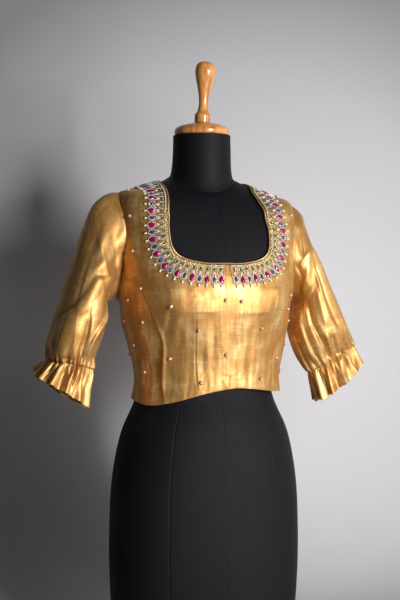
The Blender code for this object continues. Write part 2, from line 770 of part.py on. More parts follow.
def placket(name, material):
    """The stitched strip that covers the closing, narrow between the ends of the border."""
    top = neckline()[0].y - PLACKET_DROP

    def edge(levels, half, side):
        return [plane(placket_phi(level), level) + Vector((side * half, 0.0)) for level in levels]

    lower = [PLACKET_BOTTOM + (BORDER_BOTTOM - PLACKET_BOTTOM) * i / 12 for i in range(13)]
    upper = [BORDER_BOTTOM + (top - BORDER_BOTTOM) * i / 4 for i in range(5)]
    outline = (edge(lower, PLACKET_HALF, 1) + edge(upper, PLACKET_NECK_HALF, 1)
               + edge(upper[::-1], PLACKET_NECK_HALF, -1) + edge(lower[::-1], PLACKET_HALF, -1)
               + [plane(placket_phi(PLACKET_BOTTOM), PLACKET_BOTTOM)])
    verts, faces = fill(outline, 0.0)
    return wall(name, verts, faces,
                lambda spot: lifted(spot.x / PLANE_RADIUS, spot.y, LIE_GAP + PLACKET_WALL),
                lambda spot: lifted(spot.x / PLANE_RADIUS, spot.y, LIE_GAP), material)


# ---------------------------------------------------------------- sleeves and frills
SLEEVE_SIDES = 40
SLEEVE_GATHERS = 10
ARMHOLE_GAP = 0.0006      # the sleeve starts this far outside the armhole's edge
FRILL_GAP = 0.0009        # the frill starts this far below the sleeve's last ring
ARMHOLE_FADE = 4          # rings over which a sleeve leaves the armhole's own shape
GATHER_START = 0.66       # part of a sleeve's length where its gathers begin
GATHER_RISE = 0.0026

# Sections of a sleeve below the armhole.  "out" is the distance from the middle of the body.
# top_out, top_z, under_out, under_z, fore, aft, mid_y
SLEEVE_RIGHT = (
    (0.1700, 0.7630, 0.1610, 0.5820, 0.049, 0.053, 0.003),
    (0.1890, 0.7520, 0.1680, 0.5810, 0.053, 0.056, 0.001),
    (0.2040, 0.7350, 0.1740, 0.5795, 0.056, 0.057, -0.001),
    (0.2140, 0.7110, 0.1790, 0.5770, 0.058, 0.058, -0.003),
    (0.2240, 0.6850, 0.1825, 0.5730, 0.059, 0.059, -0.005),
    (0.2345, 0.6560, 0.1840, 0.5670, 0.060, 0.060, -0.007),
    (0.2580, 0.5870, 0.1850, 0.5450, 0.061, 0.060, -0.011),
    (0.2700, 0.5540, 0.1885, 0.5290, 0.060, 0.059, -0.012),
    (0.2800, 0.5230, 0.1940, 0.5090, 0.056, 0.056, -0.013),
    (0.2840, 0.5010, 0.2010, 0.4890, 0.050, 0.050, -0.0135),
    (0.2820, 0.4870, 0.2070, 0.4730, 0.044, 0.044, -0.014),
    (0.2790, 0.4800, 0.2110, 0.4620, 0.041, 0.041, -0.014),
)
SLEEVE_LEFT = (
    (0.1690, 0.7390, 0.1610, 0.5820, 0.056, 0.053, 0.001),
    (0.1765, 0.7200, 0.1640, 0.5800, 0.058, 0.054, -0.001),
    (0.1845, 0.7000, 0.1655, 0.5765, 0.058, 0.055, -0.003),
    (0.1950, 0.6770, 0.1660, 0.5715, 0.057, 0.055, -0.005),
    (0.2070, 0.6530, 0.1650, 0.5650, 0.056, 0.054, -0.007),
    (0.2200, 0.6260, 0.1625, 0.5565, 0.055, 0.054, -0.009),
    (0.2450, 0.5730, 0.1575, 0.5330, 0.052, 0.052, -0.012),
    (0.2575, 0.5460, 0.1565, 0.5180, 0.050, 0.050, -0.013),
    (0.2680, 0.5240, 0.1600, 0.5000, 0.046, 0.046, -0.0135),
    (0.2745, 0.5100, 0.1690, 0.4800, 0.039, 0.039, -0.0135),
    (0.2765, 0.5040, 0.1815, 0.4630, 0.033, 0.033, -0.0135),
    (0.2750, 0.5005, 0.1925, 0.4510, 0.029, 0.029, -0.0135),
)
# Long soft folds of a sleeve: start and end as angle round the section (degrees from the
# overarm line toward the front) and part of the length, then spread (degrees) and rise.
SLEEVE_FOLDS = (
    (75.0, 0.10, 38.0, 0.80, 13.0, 0.0055),
    (110.0, 0.15, 70.0, 0.75, 12.0, 0.0050),
    (150.0, 0.35, 100.0, 0.95, 13.0, 0.0055),
    (215.0, 0.25, 250.0, 0.90, 14.0, 0.0050),
    (290.0, 0.20, 310.0, 0.85, 14.0, 0.0045),
)

FRILL_SIDES = 60
FRILL_WAVES = 12
FRILL_ROWS = 3
# Lower edge of a frill: top_out, top_z, under_out, under_z, half_depth, mid_y, wave
FRILL_RIGHT = (0.3070, 0.4500, 0.2170, 0.3980, 0.049, -0.014, 0.0085)
FRILL_LEFT = (0.2920, 0.4650, 0.2070, 0.3990, 0.037, -0.015, 0.0085)


def sleeve_fold(angle, part, side):
    """How far the sleeve's cloth stands out: long folds, and gathers above the elastic."""
    rise = 0.0
    for first, start, last, end, spread, height in SLEEVE_FOLDS:
        if start < part < end:
            share = (part - start) / (end - start)
            middle = first + (last - first) * share
            away = math.remainder(angle - middle, 360.0)
            rise += bell(away, spread) * height * math.sin(math.pi * share) ** 0.7
    near = smooth_step((part - GATHER_START) / (1.0 - GATHER_START))
    gather = math.cos(math.radians(SLEEVE_GATHERS * angle) + side * 0.6)
    uneven = 0.75 + 0.25 * math.sin(math.radians(3.0 * angle) + side)
    return rise + near * GATHER_RISE * gather * uneven


def section_point(top, under, fore, aft, angle):
    """A point of an oval section between its overarm and underarm points."""
    middle = (top + under) * 0.5
    lean = math.cos(angle)
    reach = math.sin(angle)
    depth = fore if reach > 0.0 else aft
    return middle + (top - under) * (0.5 * lean) - Vector((0.0, depth * reach, 0.0))


def armhole_loop(side, count):
    """The armhole in space, top point first, down the front edge and up the back edge."""
    loop = []
    front, back = armhole(side)
    halves = (spline(front, 0.002), spline(back, 0.002))
    for index in range(count):
        half = halves[0] if index < count // 2 else halves[1]
        share = index / (count // 2) if index < count // 2 else 2.0 - index / (count // 2)
        loop.append(pick(half, share))
    return [blouse_point(spot.x / PLANE_RADIUS, spot.y) for spot in loop]


def pick(chain, share):
    """The point at a fraction of the length of a chain in the plane."""
    lengths = [0.0]
    for index in range(1, len(chain)):
        lengths.append(lengths[-1] + (chain[index] - chain[index - 1]).length)
    target = lengths[-1] * share
    index = min(max(bisect.bisect_left(lengths, target), 1), len(chain) - 1)
    part = (target - lengths[index - 1]) / (lengths[index] - lengths[index - 1])
    return chain[index - 1].lerp(chain[index], min(max(part, 0.0), 1.0))


def sleeve_rings(side, rows, count):
    """Rings of a sleeve's outer surface, armhole first."""
    loop = armhole_loop(side, count)
    rings = [[point + Vector((side * ARMHOLE_GAP, 0.0, 0.0)) for point in loop]]
    total = len(rows)
    plain_top = Vector((loop[0].x, 0.0, loop[0].z))
    plain_under = Vector((loop[count // 2].x, 0.0, loop[count // 2].z))
    mid_y = loop[0].y
    for number, row in enumerate(rows):
        top_out, top_z, under_out, under_z, fore, aft, row_y = row
        top = Vector((side * top_out, row_y, top_z))
        under = Vector((side * under_out, row_y, under_z))
        part = (number + 1) / total
        fade = max(0.0, 1.0 - (number + 1) / ARMHOLE_FADE)
        ring = []
        for index in range(count):
            angle = 2.0 * math.pi * index / count
            plain = section_point(plain_top, plain_under, fore, aft, angle)
            plain.y += mid_y
            offset = (loop[index] - plain) * fade
            offset.z *= 0.5
            point = section_point(top, under, fore, aft, angle) + offset
            away = section_point(top, under, fore, aft, angle) - (top + under) * 0.5
            rise = sleeve_fold(math.degrees(angle), part, side)
            ring.append(point + away.normalized() * rise)
        rings.append(ring)
    return rings


def frill_rings(side, last_ring, lower, count):
    """Rings of a frill's outer surface, from the elastic line to its lower edge."""
    top_out, top_z, under_out, under_z, half_depth, mid_y, wave = lower
    top = Vector((side * top_out, mid_y, top_z))
    under = Vector((side * under_out, mid_y, under_z))
    size = len(last_ring)
    start = []
    for index in range(count):
        spot = index * size / count
        a, b = last_ring[int(spot) % size], last_ring[(int(spot) + 1) % size]
        start.append(a.lerp(b, spot - int(spot)))
    centre = sum(start, Vector()) / count
    drop = ((top + under) * 0.5 - centre).normalized()
    rings = []
    for row in range(FRILL_ROWS + 1):
        part = row / FRILL_ROWS
        ring = []
        for index in range(count):
            angle = 2.0 * math.pi * index / count
            first = start[index] + drop * FRILL_GAP
            end = section_point(top, under, half_depth, half_depth, angle)
            away = (end - (top + under) * 0.5).normalized()
            swing = math.cos(FRILL_WAVES * angle + 0.7 * math.sin(2.0 * angle + side))
            size_here = wave * (0.80 + 0.20 * math.sin(3.0 * angle + 2.0 * side))
            lift = 0.003 * math.sin(FRILL_WAVES * angle + 1.1)
            ease = part ** 0.8
            ring.append(first.lerp(end, part) + away * (swing * size_here * ease)
                        - drop * (lift * part))
        rings.append(ring)
    return rings


def ring_normals(rings, side):
    """Outward directions for every point of a tube of rings."""
    rows, count = len(rings), len(rings[0])
    normals = []
    for row in range(rows):
        line = []
        for index in range(count):
            around = rings[row][(index + 1) % count] - rings[row][index - 1]
            along_tube = rings[min(row + 1, rows - 1)][index] - rings[max(row - 1, 0)][index]
            line.append((along_tube.cross(around) * -side).normalized())
        normals.append(line)
    return normals


def ring_wall(name, rings, cloth, side, material, first_flat, last_flat):
    """An open tube of cloth with a wall: outer rings, and inner rings set in along normals."""
    count = len(rings[0])
    normals = ring_normals(rings, side)
    for row, flat in ((0, first_flat), (-1, last_flat)):
        if flat is not None:
            normals[row] = [(normal - flat * normal.dot(flat)).normalized()
                            for normal in normals[row]]
    outer = [point for ring in rings for point in ring]
    inner = [point - normal * cloth
             for ring, line in zip(rings, normals) for point, normal in zip(ring, line)]
    total = len(outer)
    polygons = []
    for row in range(len(rings) - 1):
        for index in range(count):
            a, b = row * count + index, row * count + (index + 1) % count
            polygons.append((a, b, b + count, a + count))
            polygons.append((total + a, total + a + count, total + b + count, total + b))
    last = (len(rings) - 1) * count
    for index in range(count):
        after = (index + 1) % count
        polygons.append((index, total + index, total + after, after))
        polygons.append((last + index, last + after, total + last + after, total + last + index))
    return add_mesh(name, outer + inner, polygons, material)


def ring_axis(ring):
    """Direction square to a flat ring."""
    count = len(ring)
    across = ring[0] - ring[count // 2]
    along_depth = ring[count // 4] - ring[3 * count // 4]
    return across.cross(along_depth).normalized()


# ---------------------------------------------------------------- the form
def lathe(name, profile, seat, tilt, material):
    """A turned piece from a profile of radius and height rows, its first and last on axis."""
    points, polygons = [], []
    lean = math.radians(tilt)
    for radius, height in profile:
        for k in range(TURNED_SIDES):
            angle = 2.0 * math.pi * k / TURNED_SIDES
            x, y, z = radius * math.cos(angle), radius * math.sin(angle), height
            points.append(Vector((seat[0] + x * math.cos(lean) + z * math.sin(lean),
                                  seat[1] + y,
                                  seat[2] - x * math.sin(lean) + z * math.cos(lean))))
    for row in range(len(profile) - 1):
        for k in range(TURNED_SIDES):
            a, b = row * TURNED_SIDES + k, row * TURNED_SIDES + (k + 1) % TURNED_SIDES
            polygons.append((a, b, b + TURNED_SIDES, a + TURNED_SIDES))
    polygons.append(tuple(reversed(range(TURNED_SIDES))))
    polygons.append(tuple(range(len(points) - TURNED_SIDES, len(points))))
    return add_mesh(name, points, polygons, material)


def form_torso(name, material):
    """The padded form with its neck: one closed loft, flat above and below."""
    levels = []
    for low, high in zip(FORM_RINGS, FORM_RINGS[1:]):
        parts = max(1, math.ceil((high[0] - low[0]) / FORM_STEP - 0.2))
        levels += [low[0] + (high[0] - low[0]) * i / parts for i in range(parts)]
    levels.append(FORM_RINGS[-1][0])
    points, polygons = [], []
    for level in levels:
        points += [form_point(2.0 * math.pi * k / FORM_SIDES, level) for k in range(FORM_SIDES)]
    for row in range(len(levels) - 1):
        for k in range(FORM_SIDES):
            a, b = row * FORM_SIDES + k, row * FORM_SIDES + (k + 1) % FORM_SIDES
            polygons.append((a, b, b + FORM_SIDES, a + FORM_SIDES))
    polygons.append(tuple(reversed(range(FORM_SIDES))))
    polygons.append(tuple(range(len(points) - FORM_SIDES, len(points))))
    return add_mesh(name, points, polygons, material)


CAP_PROFILE = (           # radius, height above the neck
    (0.0455, 0.0000),
    (0.0478, 0.0018),
    (0.0485, 0.0060),
    (0.0478, 0.0100),
    (0.0440, 0.0145),
    (0.0360, 0.0182),
    (0.0250, 0.0208),
    (0.0180, 0.0214),
)
FINIAL_PROFILE = (        # radius, height above its seat
    (0.0128, 0.0000),
    (0.0140, 0.0015),
    (0.0141, 0.0140),
    (0.0125, 0.0168),
    (0.0098, 0.0215),
    (0.0083, 0.0300),
    (0.0082, 0.0380),
    (0.0096, 0.0500),
    (0.0125, 0.0640),
    (0.0158, 0.0770),
    (0.0177, 0.0875),
    (0.0178, 0.0945),
    (0.0160, 0.1020),
    (0.0115, 0.1070),
    (0.0050, 0.1092),
)


# ---------------------------------------------------------------- materials and assembly
def make_material(name, colour, roughness, metallic):
    """A plain Principled material."""
    material = bpy.data.materials.new(name)
    material.use_nodes = True
    shader = next(node for node in material.node_tree.nodes if node.type == "BSDF_PRINCIPLED")
    shader.inputs["Base Color"].default_value = (*colour, 1.0)
    shader.inputs["Roughness"].default_value = roughness
    shader.inputs["Metallic"].default_value = metallic
    material.diffuse_color = (*colour, 1.0)
    return material


def build():
    """Make every piece."""
    for thing in list(bpy.data.objects):
        bpy.data.objects.remove(thing)
    silk = make_material("gold_tissue_silk", (0.42, 0.24, 0.07), 0.42, 0.55)
    trim = make_material("jewelled_trim", (0.55, 0.30, 0.30), 0.35, 0.30)
    cord = make_material("gold_cord", (0.60, 0.42, 0.16), 0.35, 0.80)
    jersey = make_material("black_jersey", (0.012, 0.012, 0.014), 0.85, 0.0)
    wood = make_material("varnished_wood", (0.50, 0.20, 0.05), 0.28, 0.0)

    form_torso("form_torso", jersey)
    top_centre = (form_point(0.0, 0.91) + form_point(math.pi, 0.91)) * 0.5
    cap_seat = (0.0, top_centre.y, NECK_TOP + 0.0003)
    lathe("neck_cap", CAP_PROFILE, cap_seat, 0.0, wood)
    sink = FINIAL_PROFILE[1][0] * math.sin(math.radians(FINIAL_TILT))
    finial_seat = (0.001, top_centre.y, cap_seat[2] + CAP_PROFILE[-1][1] + 0.0003 + sink)
    lathe("finial", FINIAL_PROFILE, finial_seat, FINIAL_TILT, wood)

    strip = NeckStrip(neckline())
    for side, word in ((-1, "right"), (1, "left")):
        centre_front(side, "front_centre_" + word, strip, silk)
        side_front(side, "front_side_" + word, silk)
    back_panel("back", strip, silk)
    placket("placket", silk)

    right_neck, back_neck, _ = split_at_shoulders(strip.chain)
    shoulder_right = strip.lengths[len(right_neck) - 1]
    shoulder_left = strip.lengths[len(right_neck) + len(back_neck) - 2]
    total = strip.lengths[-1]
    binding("neck_binding", strip, cord)
    border("border_front_right", strip, BORDER_START, shoulder_right - BORDER_GAP, True, trim)
    border("border_back", strip, shoulder_right + BORDER_GAP, shoulder_left - BORDER_GAP, False, trim)
    border("border_front_left", strip, shoulder_left + BORDER_GAP, total - BORDER_START, True, trim)

    tables = ((-1, "right", SLEEVE_RIGHT, FRILL_RIGHT), (1, "left", SLEEVE_LEFT, FRILL_LEFT))
    for side, word, rows, lower in tables:
        rings = sleeve_rings(side, rows, SLEEVE_SIDES)
        axis = ring_axis(rings[-1])
        ring_wall("sleeve_" + word, rings, CLOTH, side, silk, Vector((1.0, 0.0, 0.0)), axis)
        frill = frill_rings(side, rings[-1], lower, FRILL_SIDES)
        ring_wall("frill_" + word, frill, FRILL_CLOTH, side, silk, axis, None)


build()
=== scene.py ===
"""Looks of a gold tissue-silk choli with a jewelled neck border, worn by a black dress form.

Metres, +Z up.  The front faces -Y and the wearer's left is +X.  The blouse body is the form's
surface moved out by an ease table, with soft folds raised on it.  "phi" is the angle round the
body, 0 at the front and +90 degrees at the wearer's left, and "level" is close to the height.
The plane of the body is phi times a radius against the level, so a seam is a plane curve.
"""
import math

import bmesh
import bpy
import numpy as np
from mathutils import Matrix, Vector
from mathutils.geometry import delaunay_2d_cdt

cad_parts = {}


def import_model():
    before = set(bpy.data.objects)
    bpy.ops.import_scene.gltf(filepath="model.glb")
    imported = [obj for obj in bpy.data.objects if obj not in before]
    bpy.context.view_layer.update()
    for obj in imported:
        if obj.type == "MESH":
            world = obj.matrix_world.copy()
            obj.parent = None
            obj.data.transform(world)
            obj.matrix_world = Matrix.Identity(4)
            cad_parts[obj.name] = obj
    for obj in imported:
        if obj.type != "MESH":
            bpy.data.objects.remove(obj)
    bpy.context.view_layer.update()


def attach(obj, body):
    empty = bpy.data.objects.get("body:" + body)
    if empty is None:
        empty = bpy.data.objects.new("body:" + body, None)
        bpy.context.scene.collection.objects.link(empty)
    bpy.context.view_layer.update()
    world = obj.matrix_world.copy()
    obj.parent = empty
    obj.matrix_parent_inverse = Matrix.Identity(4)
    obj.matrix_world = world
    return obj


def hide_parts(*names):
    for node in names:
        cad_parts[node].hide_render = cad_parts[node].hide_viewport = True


# ---------------------------------------------------------------- driving sizes (metres)
CLOTH = 0.0012            # wall of tissue silk and its cotton backing
FRILL_CLOTH = 0.0010
SEAM_GAP = 0.0004         # between pieces that are sewn together
WAIST_SHIFT = 0.0045
SHOULDER_LEAN = 0.030
PLANE_RADIUS = 0.140
FRONT_STEP = 0.0019       # spacing of the points inside a front panel
BACK_STEP = 0.0034
EDGE_STEP = 0.0030        # spacing of the points along a panel's outline
SEAM_DIP = 0.0007         # how far cloth rolls down toward a seam
SEAM_ROLL = 0.0016        # width of that roll
NECK_TOP = 0.868
FINIAL_TILT = 3.6         # degrees
TURN = 2.0 * math.pi

# level, half_width, front, back, side_y, square, z_side, z_front, z_back
FORM_RINGS = (
    (0.000, 0.1580, 0.100, 0.110, 0.000, 0.010, 0.000, 0.000, 0.000),
    (0.020, 0.1620, 0.103, 0.114, 0.000, 0.010, 0.020, 0.020, 0.020),
    (0.060, 0.1665, 0.108, 0.121, 0.000, 0.010, 0.060, 0.060, 0.060),
    (0.130, 0.1695, 0.112, 0.124, -0.001, 0.010, 0.130, 0.130, 0.130),
    (0.200, 0.1690, 0.113, 0.124, -0.001, 0.010, 0.200, 0.200, 0.200),
    (0.250, 0.1668, 0.112, 0.120, -0.001, 0.010, 0.250, 0.250, 0.250),
    (0.290, 0.1622, 0.111, 0.114, 0.000, 0.010, 0.290, 0.290, 0.290),
    (0.330, 0.1545, 0.108, 0.106, 0.000, 0.010, 0.330, 0.330, 0.330),
    (0.360, 0.1455, 0.103, 0.101, 0.000, 0.010, 0.360, 0.360, 0.360),
    (0.387, 0.1325, 0.096, 0.097, 0.000, 0.010, 0.387, 0.387, 0.387),
    (0.405, 0.1245, 0.091, 0.094, 0.000, 0.010, 0.405, 0.405, 0.405),
    (0.430, 0.1185, 0.087, 0.090, 0.000, 0.010, 0.430, 0.430, 0.430),
    (0.460, 0.1215, 0.090, 0.091, 0.000, 0.010, 0.460, 0.460, 0.460),
    (0.500, 0.1325, 0.101, 0.097, 0.000, 0.012, 0.500, 0.500, 0.500),
    (0.545, 0.1430, 0.114, 0.104, 0.000, 0.015, 0.545, 0.545, 0.545),
    (0.580, 0.1478, 0.120, 0.108, 0.001, 0.018, 0.580, 0.580, 0.580),
    (0.610, 0.1505, 0.118, 0.110, 0.002, 0.022, 0.610, 0.608, 0.610),
    (0.650, 0.1525, 0.109, 0.109, 0.003, 0.030, 0.650, 0.643, 0.650),
    (0.690, 0.1530, 0.098, 0.104, 0.004, 0.040, 0.689, 0.676, 0.692),
    (0.730, 0.1535, 0.085, 0.094, 0.005, 0.050, 0.725, 0.706, 0.730),
    (0.760, 0.1490, 0.074, 0.084, 0.006, 0.045, 0.752, 0.728, 0.758),
    (0.785, 0.1240, 0.065, 0.077, 0.008, 0.030, 0.7645, 0.743, 0.777),
    (0.810, 0.0920, 0.055, 0.071, 0.010, 0.015, 0.7765, 0.7555, 0.794),
    (0.840, 0.0575, 0.0400, 0.0750, 0.0175, 0.000, 0.7935, 0.7670, 0.812),
    (0.855, 0.0530, 0.0365, 0.0705, 0.0168, 0.000, 0.8070, 0.7830, 0.824),
    (0.880, 0.0513, 0.0360, 0.0665, 0.0152, 0.000, 0.8350, 0.8230, 0.843),
    (0.910, 0.0505, 0.0355, 0.0660, 0.0152, 0.000, 0.8680, 0.8680, 0.8680),
)

# Distance from the form to the outside of the blouse: level, side, front, back
EASE = (
    (0.340, 0.0055, 0.0060, 0.0055),
    (0.387, 0.0095, 0.0085, 0.0075),
    (0.405, 0.0105, 0.0105, 0.0090),
    (0.430, 0.0115, 0.0125, 0.0110),
    (0.460, 0.0092, 0.0100, 0.0090),
    (0.500, 0.0064, 0.0070, 0.0062),
    (0.545, 0.0050, 0.0050, 0.0052),
    (0.570, 0.0035, 0.0045, 0.0048),
    (0.595, 0.0075, 0.0042, 0.0045),
    (0.640, 0.0090, 0.0036, 0.0040),
    (0.690, 0.0105, 0.0030, 0.0034),
    (0.730, 0.0095, 0.0026, 0.0030),
    (0.760, 0.0085, 0.0030, 0.0034),
    (0.785, 0.0035, 0.0033, 0.0035),
    (0.870, 0.0036, 0.0036, 0.0036),
)
BUST_ANGLE = 0.62         # radians from the centre front to the fullest point
BUST_LEVEL = 0.578
BUST_RISE = 0.0085
BUST_SPREAD = 0.40        # radians
BUST_HEIGHT = 0.042

# Front neckline of either side, from the centre front to the shoulder seam: x, z
FRONT_NECK = (
    (0.0000, 0.6390),
    (0.0250, 0.6385),
    (0.0470, 0.6410),
    (0.0670, 0.6460),
    (0.0810, 0.6545),
    (0.0885, 0.6680),
    (0.0910, 0.6850),
    (0.0915, 0.7020),
    (0.0890, 0.7240),
    (0.0845, 0.7480),
    (0.0805, 0.7700),
)
NECK_SHIFT = -0.0030
SHOULDER_PHI = 88.0       # degrees
SIDE_PHI = 93.0           # degrees

# Back neckline: angle in degrees, level
BACK_NECK = (
    (92.0, 0.8210),
    (104.0, 0.8190),
    (115.0, 0.8120),
    (128.5, 0.7990),
    (143.0, 0.7700),
    (149.0, 0.7450),
    (156.5, 0.7250),
    (167.0, 0.7120),
    (180.0, 0.7075),
)

# Princess seam of the front, below the armhole and down to the hem: x, z
PRINCESS_TOP = 0.630
PRINCESS = (
    (0.1480, 0.6200),
    (0.1405, 0.6070),
    (0.1355, 0.5930),
    (0.1275, 0.5710),
    (0.1215, 0.5500),
    (0.1120, 0.5310),
    (0.1040, 0.5120),
    (0.1000, 0.4800),
    (0.0990, 0.4400),
    (0.0995, 0.3990),
)

# Hem level at angles round the body
HEM = (
    (-180.0, 0.4090),
    (-135.0, 0.4070),
    (-90.0, 0.4030),
    (-64.0, 0.3965),
    (-49.0, 0.3995),
    (-33.0, 0.4075),
    (-19.0, 0.4165),
    (-6.0, 0.4235),
    (8.0, 0.4285),
    (21.0, 0.4265),
    (45.0, 0.4195),
    (68.0, 0.4165),
    (90.0, 0.4140),
    (135.0, 0.4105),
    (180.0, 0.4090),
)

# Armholes: level, then y of the front and back edges on the wearer's right and left
ARMHOLE = (
    (0.7640, 0.004, 0.004, 0.004, 0.004),
    (0.7540, -0.014, 0.022, -0.018, 0.022),
    (0.7340, -0.031, 0.038, -0.038, 0.038),
    (0.7080, -0.041, 0.047, -0.052, 0.047),
    (0.6800, -0.042, 0.052, -0.060, 0.052),
    (0.6520, -0.033, 0.052, -0.062, 0.052),
    (0.6260, -0.023, 0.046, -0.052, 0.046),
    (0.6040, -0.014, 0.034, -0.034, 0.034),
    (0.5880, -0.002, 0.020, -0.014, 0.020),
    (0.5830, 0.008, 0.008, 0.004, 0.004),
)
# The centre-front closing: level, angle in degrees
PLACKET_LINE = (
    (0.380, 3.2),
    (0.450, 2.8),
    (0.530, 0.6),
    (0.600, -0.2),
    (0.660, 0.2),
)


# ---------------------------------------------------------------- small mathematics
def interpolate(rows, keys):
    """Smooth values of a table's other columns at keys in its first column."""
    grid = np.asarray(rows, float)
    levels, values = grid[:, 0], grid[:, 1:]
    keys = np.clip(np.asarray(keys, float), levels[0], levels[-1])
    low = np.clip(np.searchsorted(levels, keys, side="right") - 1, 0, len(levels) - 2)
    before, high = np.maximum(low - 1, 0), low + 1
    after = np.minimum(low + 2, len(levels) - 1)
    span = levels[high] - levels[low]
    part = ((keys - levels[low]) / span)[..., None]
    rise = values[high] - values[low]
    slope_in = (span / (levels[high] - levels[before]))[..., None]
    slope_in = slope_in * (values[high] - values[before])
    slope_out = (span / (levels[after] - levels[low]))[..., None] * (values[after] - values[low])
    cubic = slope_in + slope_out - 2.0 * rise
    square = 3.0 * rise - 2.0 * slope_in - slope_out
    return values[low] + part * (slope_in + part * (square + part * cubic))


def bell(distance, spread):
    """A smooth bump: one at the middle, nothing far away."""
    return np.exp(-(distance / spread) ** 2)


def smooth_step(value):
    """Rise from nothing at zero to one at one, level at both ends."""
    value = np.clip(value, 0.0, 1.0)
    return value * value * (3.0 - 2.0 * value)


def unit(vectors):
    """Vectors of length one along the last axis."""
    return vectors / np.maximum(np.linalg.norm(vectors, axis=-1, keepdims=True), 1e-12)


def wrap(angle):
    """An angle between minus and plus half a turn."""
    return (angle + math.pi) % TURN - math.pi


def hermite(t, start, end, leave, arrive):
    """Places at shares of a smooth curve, from its ends and the slopes there."""
    return (start * (2 * t ** 3 - 3 * t ** 2 + 1) + leave * (t ** 3 - 2 * t ** 2 + t)
            + end * (3 * t ** 2 - 2 * t ** 3) + arrive * (t ** 3 - t ** 2))


def run_lengths(points):
    """Length of a chain of points up to each of them."""
    steps = np.linalg.norm(np.diff(points, axis=0), axis=1)
    return np.concatenate(((0.0,), np.cumsum(steps)))


# Waves that make cloth uneven: direction in degrees, wavelength, phase, weight
RIPPLES = (
    (8.0, 0.031, 0.4, 1.0),
    (-21.0, 0.047, 2.1, 1.1),
    (64.0, 0.058, 4.0, 0.9),
    (97.0, 0.037, 1.3, 0.5),
    (38.0, 0.083, 5.2, 1.3),
    (-52.0, 0.066, 3.3, 0.8),
    (2.0, 0.017, 0.9, 0.45),
    (-7.0, 0.0115, 2.7, 0.30),
)
# Waves that differ seldom add up fully, so these bring their sums near 1
RIPPLE_GAIN = 1.8
CRUMPLE_GAIN = 2.2


def ripple(across, along, seed=0.0):
    """Uneven soft waves between about -1 and +1."""
    total = 0.0
    for direction, wavelength, phase, weight in RIPPLES:
        turn = math.radians(direction)
        run = across * math.cos(turn) + along * math.sin(turn)
        total = total + weight * np.sin(TURN * run / wavelength + phase + seed * (1.0 + phase))
    return total / sum(row[3] for row in RIPPLES) * RIPPLE_GAIN


# Fine crumples that catch the light: direction in degrees, spacing, phase, weight
CRUMPLES = (
    (3.0, 0.0115, 0.3, 0.8),
    (-9.0, 0.0170, 1.9, 1.0),
    (14.0, 0.0240, 4.1, 1.0),
    (78.0, 0.0230, 2.2, 0.7),
    (-68.0, 0.0290, 5.0, 0.8),
    (41.0, 0.0340, 0.9, 0.9),
    (-37.0, 0.0310, 3.6, 0.9),
)


def crumple(across, along, seed=0.0):
    """Patches of sharp-topped crumples, from about 0 to 1."""
    total = 0.0
    for direction, spacing, phase, weight in CRUMPLES:
        turn = math.radians(direction)
        run = across * math.cos(turn) + along * math.sin(turn)
        aside = along * math.cos(turn) - across * math.sin(turn)
        bend = (0.9 * np.sin(TURN * aside / (5.3 * spacing) + 2.0 * phase + seed)
                + 0.5 * np.sin(TURN * aside / (2.9 * spacing) + phase + seed))
        ridge = 1.0 - np.abs(np.sin(math.pi * run / spacing + bend + phase + seed))
        patch = (np.sin(TURN * run / (4.1 * spacing) + 3.0 * phase + seed)
                 * np.sin(TURN * aside / (6.7 * spacing) + phase + 2.0 * seed))
        total = total + weight * ridge ** 2 * smooth_step(0.5 + 0.9 * patch)
    return total / sum(row[3] for row in CRUMPLES) * CRUMPLE_GAIN


FOLD_STEP = 0.012         # spacing of the points along a fold


def fold_paths(table):
    """Smooth paths of folds; a row that starts where the row above ends carries it on."""
    paths = []
    for row in table:
        if paths and tuple(paths[-1][-1][:2]) == tuple(row[:2]):
            paths[-1][-1] = (*row[:2], *np.mean((paths[-1][-1][2:], row[4:]), axis=0))
        else:
            paths.append([(*row[:2], *row[4:])])
        paths[-1].append((*row[2:4], *row[4:]))
    return [spline(path, FOLD_STEP) for path in paths]


FOLD_REACH = 4.5          # a fold's height is nothing beyond this many widths


def path_height(across, along, path, pressed):
    """Height of one fold at places of a flat cloth."""
    total = np.linalg.norm(np.diff(path[:, :2], axis=0), axis=1)
    marks = np.concatenate(((0.0,), np.cumsum(total))) / total.sum()
    best, height = np.full(across.shape, 1.0), np.zeros(across.shape)
    for index in range(len(path) - 1):
        (x0, y0, left, right, rise), (x1, y1, left_1, right_1, rise_1) = path[index:index + 2]
        run_x, run_y = (x1 - x0) / total[index], (y1 - y0) / total[index]
        share = ((across - x0) * run_x + (along - y0) * run_y) / total[index]
        share = np.clip(share, 0.0, 1.0)
        off_x = across - x0 - run_x * share * total[index]
        off_y = along - y0 - run_y * share * total[index]
        away = np.hypot(off_x, off_y)
        left, right = left + (left_1 - left) * share, right + (right_1 - right) * share
        width = np.where(off_x * run_y > off_y * run_x, right, left)
        place = marks[index] + (marks[index + 1] - marks[index]) * share
        fade = smooth_step(place / 0.30 + 0.35) * smooth_step((1.0 - place) / 0.30 + 0.35)
        shape = np.exp(-away / width) if pressed else bell(away, width)
        nearer = away < best
        height[nearer] = ((rise + (rise_1 - rise) * share) * shape * fade)[nearer]
        best[nearer] = away[nearer]
    return height


def crease_height(across, along, table, pressed=False):
    """Height of a table's creases at places of a flat cloth.

    Each row is a ridge or trough: both ends, then its width to the left of its run, its width
    to the right and its height.  A soft one is rounded, a pressed one has an edge.
    """
    height = np.zeros(across.shape)
    for path in fold_paths(table):
        reach = FOLD_REACH * path[:, 2:4].max()
        low, high = path[:, :2].min(axis=0) - reach, path[:, :2].max(axis=0) + reach
        near = (across > low[0]) & (across < high[0]) & (along > low[1]) & (along < high[1])
        height[near] += path_height(across[near], along[near], path, pressed)
    return height


